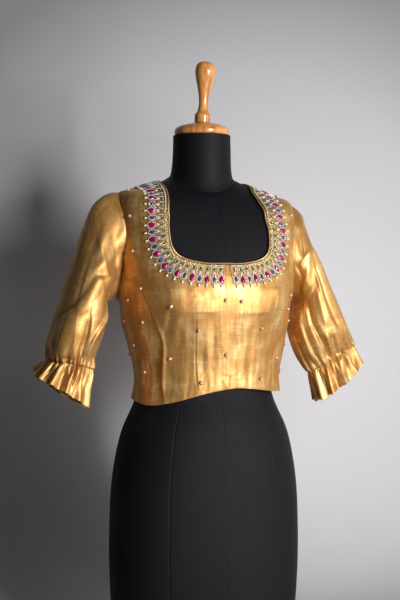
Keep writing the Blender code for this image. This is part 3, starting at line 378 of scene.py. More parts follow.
# ---------------------------------------------------------------- the body's surface
# Levels where the shoulders' lean begins and ends, and over what height it changes
LEAN_BEGIN = (0.66, 0.10)
LEAN_END = (0.79, 0.05)
WAIST_SHIFT_END = (0.48, 0.07)      # the same for the waist's shift
# Steps of phi and level that measure a surface's slope: of the form, of the blouse
FORM_PROBE = (0.004, 0.0008)
BLOUSE_PROBE = (0.002, 0.0005)
# Search for a place on the blouse: tries, miss that is near enough, largest steps, first reach
TRIES = 30
NEAR_ENOUGH = 1e-6
LARGEST_STEP = (0.2, 0.02)
FIRST_REACH = (0.95, 0.16)


def form_points(phi, level):
    """Points of the form at angles and levels."""
    phi, level = np.broadcast_arrays(np.asarray(phi, float), np.asarray(level, float))
    phi = wrap(phi)
    rings = np.moveaxis(interpolate(FORM_RINGS, level), -1, 0)
    half_width, front, back, side_y, square, z_side, z_front, z_back = rings
    sine, cosine = np.sin(phi), np.cos(phi)
    across = (sine + square * np.sin(3.0 * phi)) / (1.0 - square)
    along = (cosine - square * np.cos(3.0 * phi)) / (1.0 - square)
    depth = np.where(along > 0.0, front + side_y, back - side_y)
    z_facing = np.where(cosine > 0.0, z_front, z_back)
    bust = bell(level - BUST_LEVEL, BUST_HEIGHT) * BUST_RISE
    mound = np.where(cosine > 0.0, bell(np.abs(phi) - BUST_ANGLE, BUST_SPREAD) * bust, 0.0)
    x = half_width * across + mound * sine
    y = side_y - depth * along - mound * cosine
    lean = smooth_step((level - LEAN_BEGIN[0]) / LEAN_BEGIN[1])
    lean = lean * (1.0 - smooth_step((level - LEAN_END[0]) / LEAN_END[1]))
    z = z_side + (z_facing - z_side) * cosine * cosine - SHOULDER_LEAN * lean * x
    return np.stack((x, y, z), axis=-1)


def normals_of(surface, phi, level):
    """Outward normals of a surface given as a function of phi and level."""
    turn, rise = FORM_PROBE
    around = surface(phi + turn, level) - surface(phi - turn, level)
    upward = surface(phi, level + rise) - surface(phi, level - rise)
    return unit(np.cross(around, upward))


def ease_at(phi, level):
    """Distance from the form to the outside of the blouse."""
    side, front, back = np.moveaxis(interpolate(EASE, level), -1, 0)
    facing = np.cos(phi)
    return side + (np.where(facing > 0.0, front, back) - side) * facing * facing


def blouse_points(phi, level):
    """Points on the outside of the blouse body, without its folds."""
    base = form_points(phi, level)
    points = base + normals_of(form_points, phi, level) * ease_at(phi, level)[..., None]
    points[..., 0] += WAIST_SHIFT * (1.0 - smooth_step(
        (level - WAIST_SHIFT_END[0]) / WAIST_SHIFT_END[1]))
    return points


def locate(x, z, start=None):
    """Find phi and level of the front blouse point with a given x and z."""
    limit, width = FIRST_REACH
    phi, level = start if start else (math.asin(max(-limit, min(limit, x / width))), z)
    turn, rise = BLOUSE_PROBE
    for _ in range(TRIES):
        here, aside, above = blouse_points(np.array((phi, phi + turn, phi)),
                                           np.array((level, level, level + rise)))
        miss = np.array((x - here[0], z - here[2]))
        if np.abs(miss).sum() < NEAR_ENOUGH:
            break
        slopes = np.array(((aside - here)[[0, 2]] / turn, (above - here)[[0, 2]] / rise)).T
        step = np.linalg.solve(slopes, miss)
        step = np.clip(step, np.negative(LARGEST_STEP), LARGEST_STEP)
        phi, level = phi + step[0], level + step[1]
    return phi, level


# ---------------------------------------------------------------- curves in the plane
def resample(dense, step):
    """Evenly spaced points along a chain of points, both ends kept."""
    dense = np.asarray(dense, float)
    lengths = run_lengths(dense)
    marks = np.linspace(0.0, lengths[-1], max(1, round(lengths[-1] / step)) + 1)
    columns = [np.interp(marks, lengths, dense[:, k]) for k in range(dense.shape[1])]
    return np.stack(columns, axis=1)


SPLINE_PARTS = 16         # short runs between two knots of a curve


def spline(points, step):
    """Points at an even spacing along a smooth curve through points."""
    knots = np.asarray(points, float)
    shares = np.linspace(0.0, 1.0, SPLINE_PARTS, endpoint=False)[:, None]
    dense = []
    for index in range(len(knots) - 1):
        start, end = knots[index], knots[index + 1]
        leave = (end - knots[index - 1]) * 0.5 if index else end - start
        arrive = (knots[index + 2] - start) * 0.5 if index + 2 < len(knots) else end - start
        dense.append(hermite(shares, start, end, leave, arrive))
    dense.append(knots[-1:])
    return resample(np.concatenate(dense), step)


def placket_phi(level):
    """The angle of the centre-front line at a level."""
    return np.radians(interpolate(PLACKET_LINE, level)[..., 0])


def placket_edge(levels, half):
    """A line beside the closing in the plane."""
    return np.stack((placket_phi(levels) * PLANE_RADIUS + half, levels), axis=1)


def hem_level(phi):
    """The hem's level at an angle."""
    return interpolate(HEM, np.degrees(wrap(phi)))[..., 0]


def front_neck(side):
    """The neck edge of one front in the plane, from the centre to the shoulder."""
    places, start = [], None
    for x, z in FRONT_NECK:
        start = locate(side * x + NECK_SHIFT, z, start)
        places.append((start[0] * PLANE_RADIUS, start[1]))
    places[0] = (float(placket_phi(places[0][1])) * PLANE_RADIUS, places[0][1])
    return places


NECK_POINT_GAP = 0.004    # between points of the neck edge


def neckline():
    """The whole neck edge in the plane and the marks where the shoulder seams cross it."""
    full = TURN * PLANE_RADIUS
    back = [(-math.radians(angle) * PLANE_RADIUS, level) for angle, level in BACK_NECK]
    back += [(math.radians(angle) * PLANE_RADIUS - full, level)
             for angle, level in BACK_NECK[-2::-1]]
    left = [(x - full, y) for x, y in front_neck(1)[::-1]]
    chain = spline(front_neck(-1) + back + left, NECK_POINT_GAP)
    seam = math.radians(SHOULDER_PHI) * PLANE_RADIUS
    first = int(np.argmin(np.abs(chain[:, 0] + seam)))
    second = int(np.argmin(np.abs(chain[:, 0] - seam + full)))
    return chain, first, second


SIDE_SPAN = (35.0, 150.0)       # degrees from the front to search for a side
HALVINGS = 32


def edge_phi(level, y, side):
    """The angle near a side where the blouse has a given y at a level."""
    low, high = (np.full_like(level, math.radians(angle)) for angle in SIDE_SPAN)
    for _ in range(HALVINGS):
        middle = 0.5 * (low + high)
        ahead = blouse_points(side * middle, level)[..., 1] < y
        low, high = np.where(ahead, middle, low), np.where(ahead, high, middle)
    return side * 0.5 * (low + high)


def armhole(side):
    """Armhole in the plane: front edge from the shoulder point down, back edge the same."""
    rows = np.array(ARMHOLE)
    columns = (1, 2) if side < 0 else (3, 4)
    return [np.stack((edge_phi(rows[:, 0], rows[:, k], side) * PLANE_RADIUS, rows[:, 0]), axis=1)
            for k in columns]


def princess(side):
    """Princess seam in the plane, armhole to hem."""
    rows = [(row[0], row[1 if side < 0 else 3]) for row in ARMHOLE[::-1]]
    level = np.array([PRINCESS_TOP])
    phi = float(edge_phi(level, interpolate(rows, level)[:, 0], side)[0])
    start = (phi, PRINCESS_TOP)
    places = [(phi * PLANE_RADIUS, PRINCESS_TOP)]
    for x, z in PRINCESS:
        start = locate(side * x, z, start)
        places.append((start[0] * PLANE_RADIUS, start[1]))
    places[-1] = (places[-1][0], float(hem_level(places[-1][0] / PLANE_RADIUS)))
    return places


def hem_chain(first_phi, last_phi):
    """The hem in the plane between two angles."""
    count = max(2, round(abs(last_phi - first_phi) * PLANE_RADIUS / EDGE_STEP))
    phi = np.linspace(first_phi, last_phi, count + 1)
    return np.stack((phi * PLANE_RADIUS, hem_level(phi)), axis=1)


# ---------------------------------------------------------------- the neck border's own places
RAY_SPAN = 9
RAY_STEP = 0.009
RAY_PARTS = 5


class NeckStrip:
    """Places beside the neck edge: length along it and distance into the cloth."""

    def __init__(self):
        self.chain, first, second = neckline()
        space = blouse_points(self.chain[:, 0] / PLANE_RADIUS, self.chain[:, 1])
        self.lengths = run_lengths(space)
        self.total = float(self.lengths[-1])
        self.shoulders = float(self.lengths[first]), float(self.lengths[second])
        self.splits = first, second
        self.rays = self.cast(space)

    def cast(self, space):
        """Places at equal steps from every point of the neck edge into the cloth."""
        count = len(space)
        ahead = np.minimum(np.arange(count) + RAY_SPAN, count - 1)
        behind = np.maximum(np.arange(count) - RAY_SPAN, 0)
        phi, level = self.chain[:, 0] / PLANE_RADIUS, self.chain[:, 1].copy()
        direction = unit(np.cross(normals_of(blouse_points, phi, level),
                                  space[ahead] - space[behind]))
        rays = [self.chain]
        for _ in range(RAY_PARTS):
            step_phi, step_level = surface_step(phi, level, direction * RAY_STEP)
            phi, level = phi + step_phi, level + step_level
            rays.append(np.stack((phi * PLANE_RADIUS, level), axis=1))
            normal = normals_of(blouse_points, phi, level)
            lean = np.sum(direction * normal, axis=1, keepdims=True)
            direction = unit(direction - normal * lean)
        return np.stack(rays)

    def place(self, length, distance):
        """The plane places at lengths along the edge and distances into the cloth."""
        length, distance = np.broadcast_arrays(np.asarray(length, float),
                                               np.asarray(distance, float))
        row = distance / RAY_STEP
        step = np.clip(row, 0.0, RAY_PARTS - 1).astype(int)
        index = np.clip(np.searchsorted(self.lengths, length, side="right") - 1,
                        0, len(self.lengths) - 2)
        span = self.lengths[index + 1] - self.lengths[index]
        part = np.clip((length - self.lengths[index]) / span, 0.0, 1.0)[..., None]
        low = self.rays[step, index] * (1.0 - part) + self.rays[step, index + 1] * part
        high = self.rays[step + 1, index] * (1.0 - part) + self.rays[step + 1, index + 1] * part
        return low + (high - low) * (row - step)[..., None]

    def spread_marks(self, first, last, distance, pitch):
        """Lengths along the edge that lie evenly spaced on a row inside the cloth."""
        marks = np.linspace(first, last, 400)
        spots = self.place(marks, distance)
        points = blouse_points(spots[:, 0] / PLANE_RADIUS, spots[:, 1])
        sums = run_lengths(points)
        count = max(2, round(sums[-1] / pitch))
        return np.interp(sums[-1] * (np.arange(count) + 0.5) / count, sums, marks)


def surface_step(phi, level, direction):
    """Changes of phi and level that move surface places along directions in space."""
    turn, rise = BLOUSE_PROBE
    here = blouse_points(phi, level)
    by_phi = (blouse_points(phi + turn, level) - here) / turn
    by_level = (blouse_points(phi, level + rise) - here) / rise
    e, f, g = (np.sum(a * b, axis=-1) for a, b in
               ((by_phi, by_phi), (by_phi, by_level), (by_level, by_level)))
    p, q = np.sum(direction * by_phi, axis=-1), np.sum(direction * by_level, axis=-1)
    spread = e * g - f * f
    return (g * p - f * q) / spread, (e * q - f * p) / spread


# ---------------------------------------------------------------- folds of the blouse body
# Straight soft ridges and troughs seen from the front: x, z of both ends, width to the left
# and to the right of the run, height.  The runs go downward or outward.
FRONT_FOLDS = (
    (-0.0560, 0.5600, -0.0445, 0.4260, 0.0012, 0.0012, -0.0010),
    (0.0560, 0.5400, 0.0520, 0.4260, 0.0080, 0.0012, 0.0006),
    (-0.0945, 0.5640, -0.1010, 0.5100, 0.0075, 0.0035, -0.0016),
    (-0.0830, 0.5560, -0.0860, 0.4950, 0.0060, 0.0080, 0.0012),
    (-0.1160, 0.5480, -0.1060, 0.5150, 0.0022, 0.0040, 0.0013),
    (-0.1110, 0.5330, -0.1012, 0.5100, 0.0034, 0.0016, 0.0020),
    (-0.1012, 0.5100, -0.0976, 0.4800, 0.0034, 0.0016, 0.0028),
    (-0.0976, 0.4800, -0.0970, 0.4030, 0.0034, 0.0016, 0.0026),
    (-0.1180, 0.5350, -0.1050, 0.5060, 0.0020, 0.0065, -0.0016),
    (-0.1050, 0.5060, -0.1032, 0.4060, 0.0020, 0.0065, -0.0018),
    (-0.1580, 0.6300, -0.1360, 0.6080, 0.0045, 0.0075, 0.0018),
    (-0.1520, 0.6120, -0.1330, 0.5880, 0.0050, 0.0040, -0.0015),
    (-0.1500, 0.6560, -0.1180, 0.6330, 0.0080, 0.0120, 0.0014),
    (-0.1330, 0.6280, -0.1010, 0.6420, 0.0100, 0.0070, -0.0012),
    (0.0600, 0.5560, 0.0760, 0.5220, 0.0070, 0.0100, -0.0012),
    (0.1040, 0.5850, 0.1080, 0.5200, 0.0060, 0.0090, 0.0012),
    (-0.0330, 0.5400, -0.0290, 0.4600, 0.0050, 0.0070, 0.0008),
    (-0.0220, 0.5300, -0.0180, 0.4400, 0.0035, 0.0050, -0.0006),
    (0.0340, 0.5400, 0.0360, 0.4500, 0.0050, 0.0060, 0.0007),
    (0.0460, 0.5000, 0.0480, 0.4300, 0.0040, 0.0060, -0.0006),
    (-0.0700, 0.5300, -0.0620, 0.4300, 0.0050, 0.0070, 0.0008),
    (0.0800, 0.4900, 0.0770, 0.4260, 0.0060, 0.0070, 0.0008),
    (-0.1390, 0.5700, -0.1280, 0.4900, 0.0050, 0.0070, 0.0012),
    (-0.1260, 0.4900, -0.1180, 0.4100, 0.0060, 0.0060, 0.0012),
    (-0.1420, 0.5400, -0.1330, 0.4700, 0.0045, 0.0060, -0.0009),
    (-0.1150, 0.7600, -0.1320, 0.6700, 0.0060, 0.0090, 0.0008),
    (-0.1420, 0.7200, -0.1300, 0.6900, 0.0045, 0.0070, -0.0007),
    (0.1180, 0.7400, 0.1320, 0.6600, 0.0070, 0.0090, 0.0008),
    (0.1350, 0.6450, 0.1180, 0.6100, 0.0080, 0.0070, 0.0010),
    (0.0000, 0.4440, 0.0080, 0.4290, 0.0030, 0.0040, 0.0007),
    (-0.0800, 0.4240, 0.0200, 0.4420, 0.0050, 0.0070, 0.0009),
    (0.0500, 0.4400, 0.0950, 0.4330, 0.0060, 0.0050, 0.0007),
)
# Pressed edges of the front, in the same columns
FRONT_PRESSED = (
    (-0.0980, 0.5600, -0.0180, 0.5600, 0.0150, 0.0130, 0.0023),
    (0.0140, 0.5570, 0.0880, 0.5600, 0.0150, 0.0130, 0.0021),
    (-0.0975, 0.6030, -0.0985, 0.5620, 0.0130, 0.0110, 0.0020),
    (0.0915, 0.6030, 0.0925, 0.5610, 0.0110, 0.0130, 0.0018),
    (-0.0545, 0.5600, -0.0430, 0.4230, 0.0110, 0.0075, 0.0018),
    (-0.0175, 0.5760, -0.0050, 0.4540, 0.0060, 0.0080, 0.0006),
    (0.0125, 0.5600, 0.0250, 0.4540, 0.0080, 0.0060, 0.0006),
)
# The same for the back, seen from behind with x still to the wearer's left
BACK_FOLDS = (
    (-0.0480, 0.6200, -0.0440, 0.4200, 0.0012, 0.0075, 0.0008),
    (-0.0490, 0.6200, -0.0450, 0.4200, 0.0010, 0.0010, -0.0011),
    (0.0480, 0.6200, 0.0440, 0.4200, 0.0075, 0.0012, 0.0008),
    (0.0490, 0.6200, 0.0450, 0.4200, 0.0010, 0.0010, -0.0011),
    (-0.1180, 0.6600, -0.0500, 0.5900, 0.0090, 0.0070, 0.0014),
    (-0.1280, 0.6000, -0.0650, 0.5300, 0.0070, 0.0090, 0.0012),
    (0.1200, 0.6550, 0.0560, 0.5750, 0.0080, 0.0080, 0.0013),
    (0.1300, 0.5900, 0.0700, 0.5250, 0.0090, 0.0070, 0.0012),
    (-0.0900, 0.5100, 0.0600, 0.4960, 0.0060, 0.0080, 0.0011),
    (-0.0500, 0.4820, 0.0950, 0.4700, 0.0080, 0.0060, 0.0011),
    (-0.1000, 0.4600, -0.0100, 0.4520, 0.0060, 0.0060, 0.0009),
    (0.0200, 0.5600, 0.0160, 0.4600, 0.0060, 0.0080, 0.0008),
    (-0.0180, 0.6600, -0.0220, 0.5400, 0.0080, 0.0060, 0.0008),
)
RIPPLE_HEIGHT = 0.00065
CRUMPLE_HEIGHT = 0.00060
RELIEF_CLEAR = 0.0005     # least space between the folded cloth and the form
# Cosine of phi where the folds of front and back begin, and over how much they rise
FRONT_FADE = (-0.02, 0.12)
BACK_FADE = (0.10, 0.15)


def body_relief(places):
    """Height of the blouse's folds over its plain surface at plane places."""
    phi, level = places[..., 0] / PLANE_RADIUS, places[..., 1]
    spots = blouse_points(phi, level)
    x, z = spots[..., 0], spots[..., 2]
    facing = np.cos(phi)
    front = smooth_step((facing - FRONT_FADE[0]) / FRONT_FADE[1])
    back = smooth_step((-facing - BACK_FADE[0]) / BACK_FADE[1])
    height = (crease_height(x, z, FRONT_FOLDS)
              + crease_height(x, z, FRONT_PRESSED, pressed=True)) * front
    height = height + crease_height(x, z, BACK_FOLDS) * back
    across = wrap(phi) * PLANE_RADIUS
    height = height + ripple(across, level) * RIPPLE_HEIGHT
    height = height + crumple(across, level) * CRUMPLE_HEIGHT
    return np.maximum(height, CLOTH + RELIEF_CLEAR - ease_at(phi, level))


def on_cloth(places, above=0.0):
    """Points at a height over the folded cloth at plane places."""
    phi, level = places[..., 0] / PLANE_RADIUS, places[..., 1]
    height = body_relief(places) + above
    return blouse_points(phi, level) + normals_of(blouse_points, phi, level) * height[..., None]


def cloth_normals(places):
    """Outward directions of the plain blouse surface at plane places."""
    return normals_of(blouse_points, places[..., 0] / PLANE_RADIUS, places[..., 1])


# ---------------------------------------------------------------- meshes
def new_object(name, points, polygons, material, uv=None, smooth=True, sharp=50.0):
    """An object from points and polygons, its faces pointing out."""
    mesh = bpy.data.meshes.new(name)
    mesh.from_pydata([tuple(point) for point in points], [], polygons)
    if uv is not None:
        layer = mesh.uv_layers.new(name="cloth")
        corners = np.empty(len(mesh.loops), dtype=np.int32)
        mesh.loops.foreach_get("vertex_index", corners)
        layer.data.foreach_set("uv", np.asarray(uv, np.float32)[corners].ravel())
    work = bmesh.new()
    work.from_mesh(mesh)
    bmesh.ops.recalc_face_normals(work, faces=work.faces[:])
    if work.calc_volume(signed=True) < 0.0:
        bmesh.ops.reverse_faces(work, faces=work.faces[:])
    work.to_mesh(mesh)
    work.free()
    if smooth:
        mesh.shade_smooth()
        mesh.set_sharp_from_angle(angle=math.radians(sharp))
    mesh.materials.append(material)
    thing = bpy.data.objects.new(name, mesh)
    bpy.context.scene.collection.objects.link(thing)
    return thing


def inset(outline, distance):
    """Move a closed outline inward by a distance."""
    after = np.roll(outline, -1, axis=0)
    turning = np.sum(outline[:, 0] * after[:, 1] - outline[:, 1] * after[:, 0])
    if turning < 0.0:
        outline = outline[::-1]
    before = unit(outline - np.roll(outline, 1, axis=0))
    ahead = unit(np.roll(outline, -1, axis=0) - outline)
    inward = np.stack((-before[:, 1] - ahead[:, 1], before[:, 0] + ahead[:, 0]), axis=1)
    scale = distance / np.maximum(0.35, 0.5 * np.linalg.norm(inward, axis=1, keepdims=True))
    return outline + unit(inward) * scale


def inside(points, outline):
    """Whether plane points lie inside a closed outline."""
    hit = np.zeros(len(points), dtype=bool)
    for start, end in zip(np.roll(outline, 1, axis=0), outline):
        if start[1] == end[1]:
            continue
        crosses = (start[1] > points[:, 1]) != (end[1] > points[:, 1])
        share = (points[:, 1] - start[1]) / (end[1] - start[1])
        hit ^= crosses & (points[:, 0] < start[0] + share * (end[0] - start[0]))
    return hit


def edge_distance(points, outline):
    """Shortest distance from plane points to a closed outline."""
    best = np.full(len(points), 1.0)
    for start, end in zip(np.roll(outline, 1, axis=0), outline):
        run = end - start
        share = np.clip((points - start) @ run / max(run @ run, 1e-12), 0.0, 1.0)
        best = np.minimum(best, np.linalg.norm(points - start - share[:, None] * run, axis=1))
    return best


RING_KEPT = 0.8           # an inner ring's points nearer to the edge than this share go
GRID_CLEAR = 0.55         # grid steps between the inner rings and the grid
GRID_RISE = 0.866         # rows of even triangles lie this share of a step apart


def fill(outline, step, rows):
    """Fine triangles that fill an outline, with rows of points just inside its edge."""
    points = [outline]
    for distance in rows:
        ring = inset(outline, distance)
        keep = inside(ring, outline) & (edge_distance(ring, outline) > RING_KEPT * distance)
        points.append(ring[keep])
    margin = max(rows) + GRID_CLEAR * step
    low, high = outline.min(axis=0), outline.max(axis=0)
    grid = []
    for row, y in enumerate(np.arange(low[1], high[1], step * GRID_RISE)):
        xs = np.arange(low[0] + (0.5 * step if row % 2 else 0.0), high[0], step)
        grid.append(np.stack((xs, np.full_like(xs, y)), axis=1))
    grid = np.concatenate(grid)
    grid = grid[inside(grid, outline)]
    points.append(grid[edge_distance(grid, outline) > margin])
    every = np.concatenate(points)
    count = len(outline)
    edges = [(i, (i + 1) % count) for i in range(count)]
    verts, _, faces, _, _, _ = delaunay_2d_cdt([Vector(p) for p in every.tolist()], edges,
                                               [list(range(count))], 1, 1e-7)
    return np.array([tuple(vert) for vert in verts]), [tuple(face) for face in faces]


def rim_of(faces):
    """The open edges of a triangle sheet, each as it runs in its triangle."""
    used = {(face[i], face[(i + 1) % 3]) for face in faces for i in range(3)}
    return [(a, b) for a, b in used if (b, a) not in used]


def walled(name, places, faces, outer, inner, material):
    """A closed thin piece: an outer sheet, an inner sheet and the rim between them."""
    count = len(places)
    polygons = list(faces)
    polygons += [tuple(count + i for i in reversed(face)) for face in faces]
    polygons += [(b, a, count + a, count + b) for a, b in sorted(rim_of(faces))]
    uv = np.concatenate((places, places + (0.5, 0.5)))
    return new_object(name, np.concatenate((outer, inner)), polygons, material, uv)


def ring_quads(rows, count, base=0):
    """Quads between rings of points that close on themselves."""
    quads = []
    for start in range(base, base + (rows - 1) * count, count):
        for k in range(count):
            a, b = start + k, start + (k + 1) % count
            quads.append((a, b, b + count, a + count))
    return quads


def end_caps(rows, count):
    """Polygons over the first and the last ring of a tube."""
    last = (rows - 1) * count
    return [tuple(reversed(range(count))), tuple(range(last, last + count))]


def fan(tip, first, count):
    """Triangles from a tip to a ring of points."""
    return [(tip, first + k, first + (k + 1) % count) for k in range(count)]


def turned_shape(profile, sides):
    """Points and polygons of a turned shape whose profile starts and ends on its axis."""
    angle = np.arange(sides) * TURN / sides
    points = [(0.0, 0.0, profile[0][1])]
    for radius, height in profile[1:-1]:
        points += [(radius * math.cos(a), radius * math.sin(a), height) for a in angle]
    points.append((0.0, 0.0, profile[-1][1]))
    last = len(points) - 1
    polygons = fan(0, 1, sides) + ring_quads(len(profile) - 2, sides, 1)
    return np.array(points), polygons + fan(last, last - sides, sides)


def tube_mesh(centres, ups, radius, sides):
    """Points and polygons of a capped tube of round section along a chain of points."""
    centres, ups = np.asarray(centres), np.asarray(ups)
    along = unit(np.gradient(centres, axis=0))
    across = unit(np.cross(along, ups))
    lift = np.cross(across, along)
    angle = np.arange(sides) * TURN / sides
    ring = (np.cos(angle)[None, :, None] * across[:, None] + np.sin(angle)[None, :, None]
            * lift[:, None]) * np.broadcast_to(radius, (len(centres),))[:, None, None]
    points = (centres[:, None] + ring).reshape(-1, 3)
    return points, ring_quads(len(centres), sides) + end_caps(len(centres), sides)


class Cluster:
    """Many small closed shapes gathered into one mesh."""

    def __init__(self):
        self.points, self.polygons, self.count = [], [], 0

    def add(self, points, polygons):
        """Add one shape."""
        self.points.append(np.asarray(points))
        self.polygons += [tuple(i + self.count for i in face) for face in polygons]
        self.count += len(points)

    def copies(self, shape, centres, frames):
        """Add a shape at many centres; frames hold three scaled axes for each."""
        points, polygons = shape
        placed = np.asarray(centres)[:, None] + np.einsum("pk,nkc->npc", points, frames)
        for item in placed:
            self.add(item, polygons)

    def build(self, name, material, smooth=True):
        """Make one object of all the shapes."""
        points = np.concatenate(self.points)
        return new_object(name, points, self.polygons, material, smooth=smooth)


def ball(rows, sides):
    """Points and polygons of a unit ball."""
    tilts = [math.pi * row / rows for row in range(rows + 1)]
    return turned_shape([(math.sin(tilt), math.cos(tilt)) for tilt in tilts], sides)


def even_frames(along, outward, normal, sizes):
    """Three scaled axes for each of many places."""
    return np.stack((along * sizes[0], outward * sizes[1], normal * sizes[2]), axis=1)


# ---------------------------------------------------------------- the blouse's panels
EDGE_ROWS = (0.0009, 0.0024)    # rows of points this far inside a panel's edge
FORM_CLEAR = 0.0002             # least gap between the cloth and the form
SAME_PLACE = 0.0009             # outline points closer than this are one
ARM_SPLIT = 0.001               # armhole points this near the princess seam are left out
CLOSING_POINTS = 70


def panel(name, outline, step, material):
    """A cloth panel filled between its seams, folded, and rolled down at its edges."""
    edge = inset(outline, SEAM_GAP / 2.0)
    places, faces = fill(edge, step, EDGE_ROWS)
    phi, level = places[:, 0] / PLANE_RADIUS, places[:, 1]
    base, normal = blouse_points(phi, level), normals_of(blouse_points, phi, level)
    roll = SEAM_DIP * bell(edge_distance(places, edge), SEAM_ROLL)
    floor = CLOTH + FORM_CLEAR - ease_at(phi, level)
    height = np.maximum(body_relief(places) - roll, floor)[:, None]
    return walled(name, places, faces, base + normal * height,
                  base + normal * (height - CLOTH), material)


def join(*chains):
    """Chain curves end to end into one outline, dropping repeated ends."""
    outline = []
    for point in np.concatenate(chains):
        if not outline or np.linalg.norm(point - outline[-1]) > SAME_PLACE:
            outline.append(point)
    while np.linalg.norm(outline[0] - outline[-1]) < SAME_PLACE:
        outline.pop()
    return np.array(outline)


def centre_front(side, name, strip, material):
    """Centre panel of a front, from the closing to the princess seam and up the strap."""
    arm, seam = spline(armhole(side)[0], EDGE_STEP), spline(princess(side), EDGE_STEP)
    first, second = strip.splits
    full = np.array((TURN * PLANE_RADIUS, 0.0))
    edge = strip.chain[:first + 1] if side < 0 else strip.chain[second:][::-1] + full
    neck = resample(edge, EDGE_STEP)
    strap_end = resample(np.array((arm[0], neck[-1])), EDGE_STEP)
    levels = np.linspace(neck[0, 1], float(hem_level(np.array(0.0))), CLOSING_POINTS)
    closing = placket_edge(levels, 0.0)
    hem = hem_chain(closing[-1, 0] / PLANE_RADIUS, seam[-1, 0] / PLANE_RADIUS)
    closing[-1] = hem[0]
    upper_arm = arm[arm[:, 1] > PRINCESS_TOP + ARM_SPLIT][::-1]
    outline = join(hem, seam[::-1], upper_arm, strap_end, neck[::-1], closing)
    return panel(name, outline, FRONT_STEP, material)


def side_front(side, name, material):
    """Side panel of a front, under the arm."""
    arm, seam = spline(armhole(side)[0], EDGE_STEP), spline(princess(side), EDGE_STEP)
    lower_arm = arm[arm[:, 1] < PRINCESS_TOP - ARM_SPLIT]
    hem = hem_chain(seam[-1, 0] / PLANE_RADIUS, side * math.radians(SIDE_PHI))
    side_seam = resample(np.array((hem[-1], arm[-1])), EDGE_STEP)
    return panel(name, join(hem, side_seam, lower_arm[::-1], seam), FRONT_STEP, material)


def back_panel(name, strip, material):
    """The back in one piece, from side seam to side seam."""
    full = np.array((TURN * PLANE_RADIUS, 0.0))
    left_arm = spline(armhole(1)[1], EDGE_STEP)
    right_arm = spline(armhole(-1)[1], EDGE_STEP) + full
    first, second = strip.splits
    neck = resample(strip.chain[first:second + 1] + full, EDGE_STEP)
    hem = hem_chain(math.radians(SIDE_PHI), math.radians(360.0 - SIDE_PHI))
    outline = join(hem, resample(np.array((hem[-1], right_arm[-1])), EDGE_STEP),
                   right_arm[::-1], resample(np.array((right_arm[0], neck[0])), EDGE_STEP),
                   neck, resample(np.array((neck[-1], left_arm[0])), EDGE_STEP),
                   left_arm, resample(np.array((left_arm[-1], hem[0])), EDGE_STEP))
    return panel(name, outline, BACK_STEP, material)


# ---------------------------------------------------------------- stitches
STITCH = 0.0024
STITCH_GAP = 0.0009
THREAD = 0.00022
THREAD_SIDES = 4


def stitch_row(cluster, places, above):
    """A row of short thread stitches along a plane curve that lies on the cloth."""
    dense = resample(places, STITCH_GAP)
    per = round(STITCH / STITCH_GAP) + 1
    for start in range(0, len(dense) - per, per):
        spots = dense[start:start + per]
        arch = np.sin(np.linspace(0.0, math.pi, per)) * THREAD
        centres = on_cloth(spots, above + arch)
        cluster.add(*tube_mesh(centres, cloth_normals(spots), THREAD, THREAD_SIDES))


# ---------------------------------------------------------------- the closing
PLACKET_WALL = 0.0003
PLACKET_LIE = 0.0001
PLACKET_HALF = 0.0145
PLACKET_NECK_HALF = 0.0034
PLACKET_BOTTOM = 0.4530
BORDER_BOTTOM = 0.5960
PLACKET_SEAM = 0.0016     # edge of the strip to its stitches
PLACKET_SHORT = 0.0012    # neck edge to the top of the strip
PLACKET_POINTS = 60       # along either long edge
PLACKET_NECK_POINTS = 18
PLACKET_ROW = 0.0008      # a row of points this far inside its edge
PLACKET_ROLL = 0.0006     # width of the roll at its edge
PLACKET_EDGE = 0.0002     # height of its rolled edge over the cloth
UNDER_LIE = -0.0001       # the underside of what is sewn on, just in the cloth


def placket(name, strip, silk, thread):
    """The stitched strip over the closing, narrow between the ends of the border."""
    top = strip.chain[0, 1] - PLACKET_SHORT
    lower = np.linspace(PLACKET_BOTTOM, BORDER_BOTTOM, PLACKET_POINTS)
    upper = np.linspace(BORDER_BOTTOM, top, PLACKET_NECK_POINTS)
    outline = join(placket_edge(lower, PLACKET_HALF), placket_edge(upper, PLACKET_NECK_HALF),
                   placket_edge(upper[::-1], -PLACKET_NECK_HALF),
                   placket_edge(lower[::-1], -PLACKET_HALF),
                   resample(placket_edge(np.full(2, PLACKET_BOTTOM), 0.0)
                            + np.array(((-PLACKET_HALF, 0.0), (PLACKET_HALF, 0.0))), EDGE_STEP))
    places, faces = fill(outline, FRONT_STEP, (PLACKET_ROW,))
    roll = bell(edge_distance(places, outline), PLACKET_ROLL)
    outer = on_cloth(places, PLACKET_LIE + PLACKET_WALL
                     - (PLACKET_WALL + PLACKET_LIE - PLACKET_EDGE) * roll)
    piece = walled(name, places, faces, outer, on_cloth(places, UNDER_LIE), silk)
    return piece, placket_stitches(name + "_stitches", thread)


def placket_stitches(name, thread):
    """Stitches inside the long edges and the lower end of the strip."""
    seams = Cluster()
    half, above = PLACKET_HALF - PLACKET_SEAM, PLACKET_LIE + PLACKET_WALL
    levels = np.linspace(PLACKET_BOTTOM + PLACKET_SEAM, BORDER_BOTTOM - PLACKET_SEAM,
                         PLACKET_POINTS)
    for shift in (-half, half):
        stitch_row(seams, placket_edge(levels, shift), above)
    base = placket_edge(np.full(2, levels[0]), 0.0)
    stitch_row(seams, base + np.array(((-half, 0.0), (half, 0.0))), above)
    return seams.build(name, thread)


